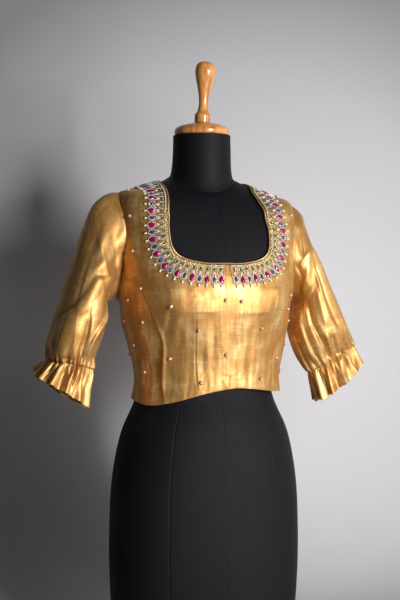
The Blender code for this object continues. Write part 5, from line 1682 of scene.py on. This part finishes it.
def loose_threads(name, ring, thread):
    """A few raw ends of weft that hang from a cuff."""
    cluster = Cluster()
    for share, length, drift in LOOSE_THREADS:
        start = ring[int(share * len(ring))]
        run = np.linspace(0.0, 1.0, LOOSE_POINTS)[:, None]
        hang = run * np.array((drift, LOOSE_BACK, -length))
        sway = np.array((drift, drift, 0.0)) * np.sin(run * LOOSE_CURL)
        ups = np.tile((0.0, 1.0, 0.05), (LOOSE_POINTS, 1))
        cluster.add(*tube_mesh(start + hang + sway, ups, LOOSE_RADIUS, THREAD_SIDES))
    return cluster.build(name, thread)


def sleeve_and_frill(side, word, silk, thread):
    """One sleeve, its frill and the elastic line between them."""
    angle = np.arange(SLEEVE_SIDES) * 360.0 / SLEEVE_SIDES
    part = 1.0 - (1.0 - np.linspace(0.0, 1.0, SLEEVE_ROWS)) ** SLEEVE_CROWDING
    turned_in = [armhole_loop(side, angle, grow, depth) for grow, depth in ARMHOLE_TURN]
    whole = np.concatenate((np.stack(turned_in), sleeve_rings(side, angle, part)))
    reach = [-grow - depth for grow, depth in ARMHOLE_TURN]
    along = np.concatenate((reach, part * LENGTH))
    sleeve = ring_piece("sleeve_cloth_" + word, whole, along, CLOTH, side, silk, (-1,))
    fine = np.arange(FRILL_SIDES) * 360.0 / FRILL_SIDES
    cuff = sleeve_rings(side, fine, np.array(CUFF_SHARES))[-1]
    share = np.linspace(0.0, 1.0, FRILL_ROWS) ** FRILL_CROWDING
    rings = frill_rings(side, cuff, fine, share)
    frill = ring_piece("frill_cloth_" + word, rings, share * FRILL_LENGTH, FRILL_CLOTH, side,
                       silk)
    stitches = shirring("elastic_stitches_" + word, cuff, thread)
    threads = loose_threads("loose_threads_" + word, rings[-1], thread)
    return sleeve, frill, stitches, threads


# ---------------------------------------------------------------- the form and its wood
FORM_COLUMNS = 112
FORM_ROWS = 110
FORM_SEAMS = (0.0, 33.0, 92.0, 147.0, 180.0, 213.0, 268.0, 327.0)   # degrees
NECK_SEAM = 0.838         # level of the seam round the base of the neck
FORM_SEAM_DEPTH = 0.0005
FORM_SEAM_WIDTH = 0.0011
FORM_SEAM_CLEAR = 0.0042  # plain columns keep this far from a seam
NECK_SEAM_DEPTH = 0.0010
NECK_SEAM_WIDTH = 0.0013
FORM_END_ROWS = (0.0008, -0.0006)       # close rows beside its lower and upper end
SEAM_OFFSETS = (-0.0034, -0.0021, -0.0013, -0.0006, 0.0, 0.0006, 0.0013, 0.0021, 0.0034)


def form_seams(phi, level):
    """How deep the form's seams draw its cover in."""
    depth = np.zeros_like(phi)
    for seam in FORM_SEAMS:
        away = np.abs(wrap(phi - math.radians(seam))) * PLANE_RADIUS
        depth = np.maximum(depth, bell(away, FORM_SEAM_WIDTH))
    round_neck = bell(level - NECK_SEAM, NECK_SEAM_WIDTH) * NECK_SEAM_DEPTH
    return depth * FORM_SEAM_DEPTH * (level < NECK_SEAM) + round_neck


def form_torso(name, material):
    """The padded torso and neck, closed below and above, with its cover's seams."""
    phi = list(np.arange(FORM_COLUMNS) * TURN / FORM_COLUMNS)
    for seam in FORM_SEAMS:
        middle = math.radians(seam)
        phi = [p for p in phi if abs(wrap(p - middle)) * PLANE_RADIUS > FORM_SEAM_CLEAR]
        phi += [(middle + offset / PLANE_RADIUS) % TURN for offset in SEAM_OFFSETS]
    phi = np.unique(np.round(phi, 7))
    low, high = FORM_RINGS[0][0], FORM_RINGS[-1][0]
    level = list(np.linspace(low, high, FORM_ROWS))
    level += [NECK_SEAM + offset for offset in SEAM_OFFSETS]
    level += [low + FORM_END_ROWS[0], high + FORM_END_ROWS[1]]
    level = np.unique(np.round(level, 6))
    grid_phi, grid_level = np.meshgrid(phi, level)
    points = form_points(grid_phi, grid_level)
    points = points - normals_of(form_points, grid_phi, grid_level) * form_seams(
        grid_phi, grid_level)[..., None]
    polygons = ring_quads(*grid_phi.shape) + end_caps(*grid_phi.shape)
    spread = np.stack((grid_phi * PLANE_RADIUS, grid_level), axis=-1).reshape(-1, 2)
    return new_object(name, points.reshape(-1, 3), polygons, material, spread, sharp=60.0)


TURNED_SIDES = 96
CAP_PROFILE = (           # radius, height above the neck
    (0.0455, 0.0000),
    (0.0478, 0.0018),
    (0.0485, 0.0060),
    (0.0478, 0.0100),
    (0.0440, 0.0145),
    (0.0360, 0.0182),
    (0.0250, 0.0208),
    (0.0180, 0.0214),
)
FINIAL_PROFILE = (        # radius, height above its seat
    (0.0128, 0.0000),
    (0.0140, 0.0015),
    (0.0141, 0.0140),
    (0.0125, 0.0168),
    (0.0098, 0.0215),
    (0.0083, 0.0300),
    (0.0082, 0.0380),
    (0.0096, 0.0500),
    (0.0125, 0.0640),
    (0.0158, 0.0770),
    (0.0177, 0.0875),
    (0.0178, 0.0945),
    (0.0160, 0.1020),
    (0.0115, 0.1070),
    (0.0050, 0.1092),
)
SEAT_GAP = 0.0003
FINIAL_SHIFT = 0.001      # the finial stands this far toward the wearer's left
TURNED_STEP = 0.0014


def lathe(name, profile, seat, tilt, material):
    """A turned piece on a smooth curve through a profile, flat at both ends."""
    curve = spline(np.array(profile), TURNED_STEP)
    radius, height = curve[:, 0][:, None], curve[:, 1][:, None]
    angle = (np.arange(TURNED_SIDES) * TURN / TURNED_SIDES)[None, :]
    x, y = radius * np.cos(angle), radius * np.sin(angle)
    z = height + np.zeros_like(angle)
    lean = math.radians(tilt)
    points = np.stack((seat[0] + x * math.cos(lean) + z * math.sin(lean), seat[1] + y,
                       seat[2] - x * math.sin(lean) + z * math.cos(lean)), axis=-1)
    polygons = ring_quads(len(curve), TURNED_SIDES) + end_caps(len(curve), TURNED_SIDES)
    return new_object(name, points.reshape(-1, 3), polygons, material, sharp=40.0)


HOLE_SIDE = (-0.848, -0.530)    # where the finial's screw hole faces
HOLE_HEIGHT = 0.0080
HOLE_RADIUS = 0.0013
HOLE_SIDES = 20
HOLE_ENDS = (-0.0004, 0.0003)   # its mouth's inner and outer end past the finial's foot


def screw_hole(name, seat, material):
    """A disc of painted shade standing for the mouth of the small screw hole in the finial's foot.
    """
    out = np.array((*HOLE_SIDE, 0.0))
    centre = np.array(seat) + out * FINIAL_PROFILE[2][0] + (0.0, 0.0, HOLE_HEIGHT)
    run = centre + out * np.array(HOLE_ENDS)[:, None]
    ups = np.tile((0.0, 0.0, 1.0), (2, 1))
    return new_object(name, *tube_mesh(run, ups, HOLE_RADIUS, HOLE_SIDES), material)


# ---------------------------------------------------------------- materials
class Finish:
    """A material's node tree with short calls to add and link nodes."""

    def __init__(self, name, colour, roughness, metallic=0.0):
        self.material = bpy.data.materials.new(name)
        self.material.use_nodes = True
        self.nodes = self.material.node_tree.nodes
        self.links = self.material.node_tree.links
        self.shader = next(n for n in self.nodes if n.type == "BSDF_PRINCIPLED")
        self.shader.inputs["Base Color"].default_value = (*colour, 1.0)
        self.shader.inputs["Roughness"].default_value = roughness
        self.shader.inputs["Metallic"].default_value = metallic
        self.material.diffuse_color = (*colour, 1.0)

    def set(self, values):
        """Plain values on the shader, by name."""
        for name, value in values.items():
            self.shader.inputs[name].default_value = value

    def add(self, kind, **settings):
        """A new node with attributes set."""
        node = self.nodes.new(kind)
        for key, value in settings.items():
            setattr(node, key, value)
        return node

    def link(self, output, target):
        """Link an output to an input."""
        self.links.new(output, target)

    def scaled(self, source, scale):
        """Scaled coordinates."""
        mapping = self.add("ShaderNodeMapping")
        mapping.inputs["Scale"].default_value = scale
        self.link(source, mapping.inputs["Vector"])
        return mapping.outputs["Vector"]

    def noise(self, source, scale, detail, roughness=0.5, distortion=0.0):
        """Smooth random values."""
        node = self.add("ShaderNodeTexNoise")
        node.inputs["Scale"].default_value = scale
        node.inputs["Detail"].default_value = detail
        node.inputs["Roughness"].default_value = roughness
        node.inputs["Distortion"].default_value = distortion
        self.link(source, node.inputs["Vector"])
        return node.outputs["Fac"]

    def wave(self, source, direction):
        """Regular bands across a direction."""
        node = self.add("ShaderNodeTexWave", bands_direction=direction)
        node.inputs["Scale"].default_value = 1.0
        self.link(source, node.inputs["Vector"])
        return node.outputs["Fac"]

    def math(self, operation, first, second):
        """Arithmetic on two values, each a number or an output."""
        node = self.add("ShaderNodeMath", operation=operation)
        for socket, value in zip(node.inputs, (first, second)):
            if isinstance(value, float):
                socket.default_value = value
            else:
                self.link(value, socket)
        return node.outputs["Value"]

    def blend(self, *parts):
        """A weighted sum of outputs, each given with its weight."""
        total = None
        for output, weight in reversed(parts):
            part = self.math("MULTIPLY", output, weight)
            total = part if total is None else self.math("ADD", part, total)
        return total

    def colours(self, factor, stops):
        """The base colour for each value, between stops of position and colour."""
        node = self.add("ShaderNodeValToRGB")
        places = node.color_ramp.elements
        while len(places) < len(stops):
            places.new(0.5)
        for place, (position, colour) in zip(places, stops):
            place.position = position
            place.color = (*colour, 1.0)
        self.link(factor, node.inputs["Fac"])
        self.link(node.outputs["Color"], self.shader.inputs["Base Color"])

    def range(self, factor, low, high):
        """A value from 0 to 1 brought between two others."""
        node = self.add("ShaderNodeMapRange")
        node.inputs["To Min"].default_value = low
        node.inputs["To Max"].default_value = high
        self.link(factor, node.inputs["Value"])
        return node.outputs["Result"]

    def bump(self, height, strength, distance):
        """Fine relief from a height."""
        node = self.add("ShaderNodeBump")
        node.inputs["Strength"].default_value = strength
        node.inputs["Distance"].default_value = distance
        self.link(height, node.inputs["Height"])
        self.link(node.outputs["Normal"], self.shader.inputs["Normal"])

    def cloth_place(self):
        """Coordinates in metres of cloth."""
        return self.add("ShaderNodeUVMap", uv_map="cloth").outputs["UV"]

    def body_place(self):
        """Coordinates in metres of the piece's own space."""
        return self.add("ShaderNodeTexCoord").outputs["Object"]


# Colours at places on a pattern's tone, of tissue silk, zari embroidery and wood
SILK_COLOURS = (
    (0.32, (0.40, 0.155, 0.034)),
    (0.50, (0.60, 0.318, 0.092)),
    (0.66, (0.92, 0.680, 0.340)),
)
ZARI_COLOURS = (
    (0.30, (0.09, 0.045, 0.018)),
    (0.50, (0.36, 0.20, 0.085)),
    (0.70, (0.78, 0.58, 0.32)),
)
WOOD_COLOURS = (
    (0.30, (0.40, 0.130, 0.026)),
    (0.50, (0.74, 0.310, 0.075)),
    (0.70, (0.94, 0.500, 0.160)),
)
SILK_SHEEN = {
    "Specular IOR Level": 0.8,
    "Specular Tint": (1.0, 0.94, 0.76, 1.0),
    "Coat Weight": 0.20,
    "Coat Roughness": 0.42,
    "Coat Tint": (1.0, 0.95, 0.80, 1.0),
    "Sheen Weight": 0.06,
    "Sheen Tint": (1.0, 0.80, 0.45, 1.0),
}


def tissue_silk(name):
    """Gold and copper shot tissue: crosswise gold thread over a copper warp, with slubs."""
    finish = Finish(name, (0.58, 0.32, 0.09), 0.44, 0.62)
    cloth = finish.cloth_place()
    streak = finish.noise(finish.scaled(cloth, (360.0, 12.0, 1.0)), 1.0, 4.0, 0.65)
    broad = finish.noise(finish.scaled(cloth, (60.0, 9.0, 1.0)), 1.0, 3.0, 0.6, 0.4)
    weft = finish.noise(finish.scaled(cloth, (30.0, 600.0, 1.0)), 1.0, 3.0, 0.6)
    cloud = finish.noise(cloth, 26.0, 3.0, 0.55)
    tone = finish.blend((streak, 0.18), (broad, 0.20), (weft, 0.20), (cloud, 0.42))
    finish.colours(tone, SILK_COLOURS)
    finish.link(finish.range(tone, 0.60, 0.36), finish.shader.inputs["Roughness"])
    finish.set(SILK_SHEEN)
    finish.bump(finish.blend((streak, 0.6), (broad, 0.5), (weft, 1.0)), 0.16, 0.0005)
    return finish.material


def plain_finish(name, colour, roughness, metallic=0.0):
    """One colour with a fine grain."""
    finish = Finish(name, colour, roughness, metallic)
    finish.bump(finish.noise(finish.body_place(), 900.0, 2.0), 0.25, 0.0001)
    return finish.material


def zari_band(name):
    """Close gold embroidery that fills the border between its stones."""
    finish = Finish(name, (0.62, 0.42, 0.20), 0.42, 0.6)
    loops = finish.noise(finish.body_place(), 900.0, 2.0, 0.6)
    finish.colours(loops, ZARI_COLOURS)
    finish.bump(loops, 0.8, 0.0006)
    return finish.material


def glass_stone(name, colour, glow):
    """A foiled glass stone: deep colour under a clear glossy face."""
    finish = Finish(name, colour, 0.12, 0.25)
    face = finish.add("ShaderNodeLayerWeight")
    face.inputs["Blend"].default_value = 0.35
    shine = finish.range(face.outputs["Facing"], 0.16, 0.05)
    finish.link(shine, finish.shader.inputs["Roughness"])
    depth = finish.noise(finish.body_place(), 420.0, 1.0)
    finish.colours(depth, ((0.35, colour), (0.65, glow)))
    finish.set({"Coat Weight": 1.0, "Coat Roughness": 0.04})
    return finish.material


def pearl_finish(name):
    """A warm pearl."""
    finish = Finish(name, (0.68, 0.46, 0.33), 0.25, 0.15)
    finish.set({"Coat Weight": 0.6, "Coat Roughness": 0.10})
    finish.bump(finish.noise(finish.body_place(), 500.0, 1.0), 0.1, 0.0001)
    return finish.material


def black_jersey(name):
    """Fine black knit, drawn tight, with a faint soft sheen."""
    finish = Finish(name, (0.0062, 0.0066, 0.0090), 0.62)
    knit = finish.scaled(finish.cloth_place(), (900.0, 900.0, 1.0))
    ribs = finish.math("MULTIPLY", finish.wave(knit, "X"), finish.wave(knit, "Y"))
    mottle = finish.noise(finish.body_place(), 60.0, 3.0)
    finish.link(finish.range(mottle, 0.50, 0.66), finish.shader.inputs["Roughness"])
    finish.set({"Specular IOR Level": 0.16})
    finish.bump(ribs, 0.3, 0.0003)
    return finish.material


def varnished_wood(name):
    """Orange-brown turned wood under gloss varnish."""
    finish = Finish(name, (0.50, 0.19, 0.045), 0.30)
    place = finish.scaled(finish.body_place(), (60.0, 60.0, 7.0))
    grain = finish.noise(place, 1.0, 5.0, 0.6, 0.8)
    finish.colours(grain, WOOD_COLOURS)
    finish.set({"Coat Weight": 0.8, "Coat Roughness": 0.12})
    finish.bump(grain, 0.08, 0.0004)
    return finish.material


def painted_hole_shade(name):
    """Painted shade that stands for the inside of a hole."""
    return plain_finish(name, (0.02, 0.008, 0.004), 0.9)


# ---------------------------------------------------------------- the camera and the studio
CAMERA_TURN = -19.0       # degrees from straight in front, toward the wearer's right
CAMERA_FAR = 2.5
CAMERA_HEIGHT = 0.579
CAMERA_LENS = 57.0
CAMERA_GATE = 24.0
CAMERA_SHIFT = -4.5 / 600.0


def set_camera():
    """The photograph's level view."""
    turn = math.radians(CAMERA_TURN)
    data = bpy.data.cameras.new("photo_camera")
    data.sensor_fit = "VERTICAL"
    data.sensor_height = CAMERA_GATE
    data.lens = CAMERA_LENS
    data.shift_x = CAMERA_SHIFT
    camera = bpy.data.objects.new("photo_camera", data)
    camera.location = (CAMERA_FAR * math.sin(turn), -CAMERA_FAR * math.cos(turn), CAMERA_HEIGHT)
    camera.rotation_euler = (math.pi / 2.0, 0.0, turn)
    bpy.context.scene.collection.objects.link(camera)
    bpy.context.scene.camera = camera


def place_from_camera(right, away, height):
    """A point so far to the right of the view's middle and beyond the object."""
    turn = math.radians(CAMERA_TURN)
    return (right * math.cos(turn) - away * math.sin(turn),
            right * math.sin(turn) + away * math.cos(turn), height)


CHEST = (0.0, 0.0, 0.60)


def add_light(name, place, size, power, colour):
    """A soft oblong light aimed at the chest."""
    data = bpy.data.lights.new(name, "AREA")
    data.shape = "RECTANGLE"
    data.size, data.size_y = size
    data.energy = power
    data.color = colour
    light = bpy.data.objects.new(name, data)
    light.location = place
    aim = Vector(CHEST) - Vector(place)
    light.rotation_euler = aim.to_track_quat("-Z", "Y").to_euler()
    bpy.context.scene.collection.objects.link(light)


SWEEP_RADIUS = 0.28
SWEEP_BACK = 0.42         # the backdrop stands this far behind the object
SWEEP_FRONT = 3.2
SWEEP_SIDE = 4.0
SWEEP_TOP = 4.0
FLOOR_LEVEL = -0.002
SWEEP_POINTS = 33         # along its curve


def backdrop(material):
    """A seamless sweep: floor, curve and upright backdrop, facing the camera."""
    arc = np.linspace(0.0, 0.5 * math.pi, SWEEP_POINTS)
    profile = [(-SWEEP_FRONT, 0.0), (SWEEP_BACK - SWEEP_RADIUS, 0.0)]
    profile += [(SWEEP_BACK - SWEEP_RADIUS * (1.0 - math.sin(a)),
                 SWEEP_RADIUS * (1.0 - math.cos(a))) for a in arc[1:]]
    profile.append((SWEEP_BACK, SWEEP_TOP))
    points = []
    for away, height in profile:
        points += [place_from_camera(right, away, height + FLOOR_LEVEL)
                   for right in (-SWEEP_SIDE, SWEEP_SIDE)]
    polygons = [(2 * i, 2 * i + 1, 2 * i + 3, 2 * i + 2) for i in range(len(profile) - 1)]
    mesh = bpy.data.meshes.new("backdrop")
    mesh.from_pydata(points, [], polygons)
    mesh.materials.append(material)
    sweep = bpy.data.objects.new("backdrop", mesh)
    bpy.context.scene.collection.objects.link(sweep)


PAPER = (0.74, 0.74, 0.78)
# The paper's colour holds painted light: a bright pool round a middle point, with painted shade
# falling off toward the edges
PAINTED_FALLOFF = ((0.30, 0.42), (0.50, 0.76), (0.75, 0.96))   # place on the painted falloff of light, brightness
PAINTED_LIGHT_MIDDLE = (0.02, 0.50)    # middle of the painted pool of light: to the right of the view's middle, height
PAINTED_FALLOFF_RADIUS = 1.1


def paper():
    """Grey paper with a painted pool of light that darkens into painted shade away from its
    middle, and doesn't show from behind.
    """
    finish = Finish("grey_paper", PAPER, 0.9)
    middle = place_from_camera(PAINTED_LIGHT_MIDDLE[0], SWEEP_BACK, PAINTED_LIGHT_MIDDLE[1])
    mapping = finish.add("ShaderNodeMapping", vector_type="TEXTURE")
    mapping.inputs["Location"].default_value = middle
    mapping.inputs["Scale"].default_value = (PAINTED_FALLOFF_RADIUS,) * 3
    finish.link(finish.body_place(), mapping.inputs["Vector"])
    # A spherical gradient paints the pool of light and the shade around it into the paper's colour
    painted_light = finish.add("ShaderNodeTexGradient", gradient_type="SPHERICAL")
    finish.link(mapping.outputs["Vector"], painted_light.inputs["Vector"])
    stops = [(place, tuple(level * value for value in PAPER)) for place, level in PAINTED_FALLOFF]
    finish.colours(painted_light.outputs["Fac"], stops)
    finish.set({"Specular IOR Level": 0.1})
    mix = finish.add("ShaderNodeMixShader")
    clear = finish.add("ShaderNodeBsdfTransparent")
    finish.link(finish.add("ShaderNodeNewGeometry").outputs["Backfacing"], mix.inputs[0])
    finish.link(finish.shader.outputs["BSDF"], mix.inputs[1])
    finish.link(clear.outputs["BSDF"], mix.inputs[2])
    target = next(n for n in finish.nodes if n.type == "OUTPUT_MATERIAL")
    finish.link(mix.outputs["Shader"], target.inputs["Surface"])
    return finish.material


WORLD_COLOUR = (0.95, 0.95, 1.0, 1.0)
WORLD_STRENGTH = 0.012
LAMP_COLOUR = (1.0, 0.985, 0.96)
FILL_COLOUR = (0.94, 0.97, 1.0)
FILL_PLACE = (-1.6, -1.9, 1.2)  # to the right of the view's middle, beyond, height
FILL_SIZE = (1.4, 1.8)
FILL_POWER = 1.0
# Lights: name, degrees to the right of the camera, degrees above the chest, distance,
# width and height, power
LAMPS = (
    ("key", 40.0, 9.0, 3.4, (0.8, 0.9), 102.0),
    ("window", 84.0, 10.0, 3.2, (0.8, 1.6), 12.0),
    ("bounce", 42.0, -20.0, 1.6, (1.1, 0.5), 14.0),
)


def studio():
    """Backdrop with a painted falloff of light and shade, a soft key light from the right and dim
    surroundings.
    """
    backdrop(paper())
    world = bpy.data.worlds.new("studio")
    world.use_nodes = True
    ground = next(n for n in world.node_tree.nodes if n.type == "BACKGROUND")
    ground.inputs["Color"].default_value = WORLD_COLOUR
    ground.inputs["Strength"].default_value = WORLD_STRENGTH
    bpy.context.scene.world = world
    bpy.context.scene.view_settings.view_transform = "Standard"
    for name, turn, rise, far, size, power in LAMPS:
        turn, rise = math.radians(turn), math.radians(rise)
        spot = place_from_camera(far * math.sin(turn) * math.cos(rise),
                                 -far * math.cos(turn) * math.cos(rise),
                                 CHEST[2] + far * math.sin(rise))
        add_light(name, spot, size, power, LAMP_COLOUR)
    add_light("fill", place_from_camera(*FILL_PLACE), FILL_SIZE, FILL_POWER, FILL_COLOUR)


def place_on_frame(piece, slot, *nodes):
    """A piece rides on the only body and stands for CAD nodes, which are hidden; its slot is not
    used.
    """
    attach(piece, "root")
    if nodes:
        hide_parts(*nodes)


def build_panels(strip, silk):
    """The five panels of the body."""
    for side, word in ((-1, "right"), (1, "left")):
        front = centre_front(side, "front_centre_cloth_" + word, strip, silk)
        place_on_frame(front, "silk", "front_centre_" + word)
        under = side_front(side, "front_side_cloth_" + word, silk)
        place_on_frame(under, "silk", "front_side_" + word)
    back = back_panel("back_cloth", strip, silk)
    place_on_frame(back, "silk", "back")


def build_closing(strip, silk, thread):
    """The strip over the closing and its stitches."""
    piece, stitches = placket("placket_cloth", strip, silk, thread)
    place_on_frame(piece, "silk", "placket")
    place_on_frame(stitches, "cord")


def build_border(strip, zari, finishes):
    """The three bands with their stones, beads and pearls."""
    first, second = strip.shoulders
    spans = (("front_right", BORDER_START, first - BORDER_GAP),
             ("back", first + BORDER_GAP, second - BORDER_GAP),
             ("front_left", second + BORDER_GAP, strip.total - BORDER_START))
    stones = {kind: Cluster() for kind in ("ruby", "blue", "green")}
    beads = {kind: Cluster() for kind in ("gold", "white", "pearl")}
    for word, start, end in spans:
        piece, marks = band("border_band_" + word, strip, start, end, zari)
        place_on_frame(piece, "trim", "border_" + word)
        jewels(strip, marks, stones, beads)
        edge_rows(strip, start, end, beads)
    for kind, cluster in stones.items():
        place_on_frame(cluster.build(kind + "_stones", finishes[kind], smooth=False), "trim")
    for kind, cluster in beads.items():
        place_on_frame(cluster.build(kind + "_beads", finishes[kind]), "trim")


def build_sleeves(silk, thread):
    """Both sleeves with their frills."""
    for side, word in ((-1, "right"), (1, "left")):
        sleeve, frill, stitches, threads = sleeve_and_frill(side, word, silk, thread)
        place_on_frame(sleeve, "silk", "sleeve_" + word)
        place_on_frame(frill, "silk", "frill_" + word)
        place_on_frame(stitches, "cord")
        place_on_frame(threads, "silk")


def build_form(jersey, wood, hole_shade):
    """The dress form, its cap and its finial."""
    place_on_frame(form_torso("form_cover", jersey), "jersey", "form_torso")
    top = np.full(2, FORM_RINGS[-1][0])
    middle = form_points(np.array((0.0, math.pi)), top).mean(axis=0)[1]
    cap_seat = (0.0, middle, NECK_TOP + SEAT_GAP)
    cap = lathe("turned_cap", CAP_PROFILE, cap_seat, 0.0, wood)
    place_on_frame(cap, "wood", "neck_cap")
    sink = FINIAL_PROFILE[1][0] * math.sin(math.radians(FINIAL_TILT))
    seat = (FINIAL_SHIFT, middle, cap_seat[2] + CAP_PROFILE[-1][1] + SEAT_GAP + sink)
    place_on_frame(lathe("turned_finial", FINIAL_PROFILE, seat, FINIAL_TILT, wood), "wood",
                   "finial")
    # The screw hole is a capped disc whose near-black colour is painted shade
    place_on_frame(screw_hole("screw_hole", seat, hole_shade), "wood")


def main():
    """Dress the frame in its looks."""
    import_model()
    silk = tissue_silk("tissue_silk")
    thread = plain_finish("gold_thread", (0.72, 0.50, 0.22), 0.45, 0.4)
    zari = zari_band("zari")
    finishes = {
        "ruby": glass_stone("ruby_glass", (0.20, 0.001, 0.055), (0.50, 0.006, 0.17)),
        "blue": glass_stone("blue_glass", (0.006, 0.03, 0.22), (0.02, 0.13, 0.52)),
        "green": glass_stone("green_glass", (0.0, 0.07, 0.022), (0.01, 0.22, 0.08)),
        "gold": plain_finish("gold_bead", (0.85, 0.58, 0.22), 0.22, 0.9),
        "white": plain_finish("white_bead", (0.88, 0.84, 0.76), 0.25, 0.0),
        "pearl": plain_finish("ivory_pearl", (0.90, 0.85, 0.76), 0.2),
    }
    strip = NeckStrip()
    build_panels(strip, silk)
    build_closing(strip, silk, thread)
    build_border(strip, zari, finishes)
    cord = neck_cord("neck_cord", strip, plain_finish("gold_cord", (0.78, 0.55, 0.26), 0.35, 0.75))
    place_on_frame(cord, "cord", "neck_binding")
    pearls, cups = sewn_pearls(pearl_finish("pearl"), finishes["gold"])
    place_on_frame(pearls, "trim")
    place_on_frame(cups, "trim")
    build_sleeves(silk, thread)
    build_form(black_jersey("black_jersey"), varnished_wood("varnished_wood"),
               painted_hole_shade("hole"))
    set_camera()
    studio()


main()
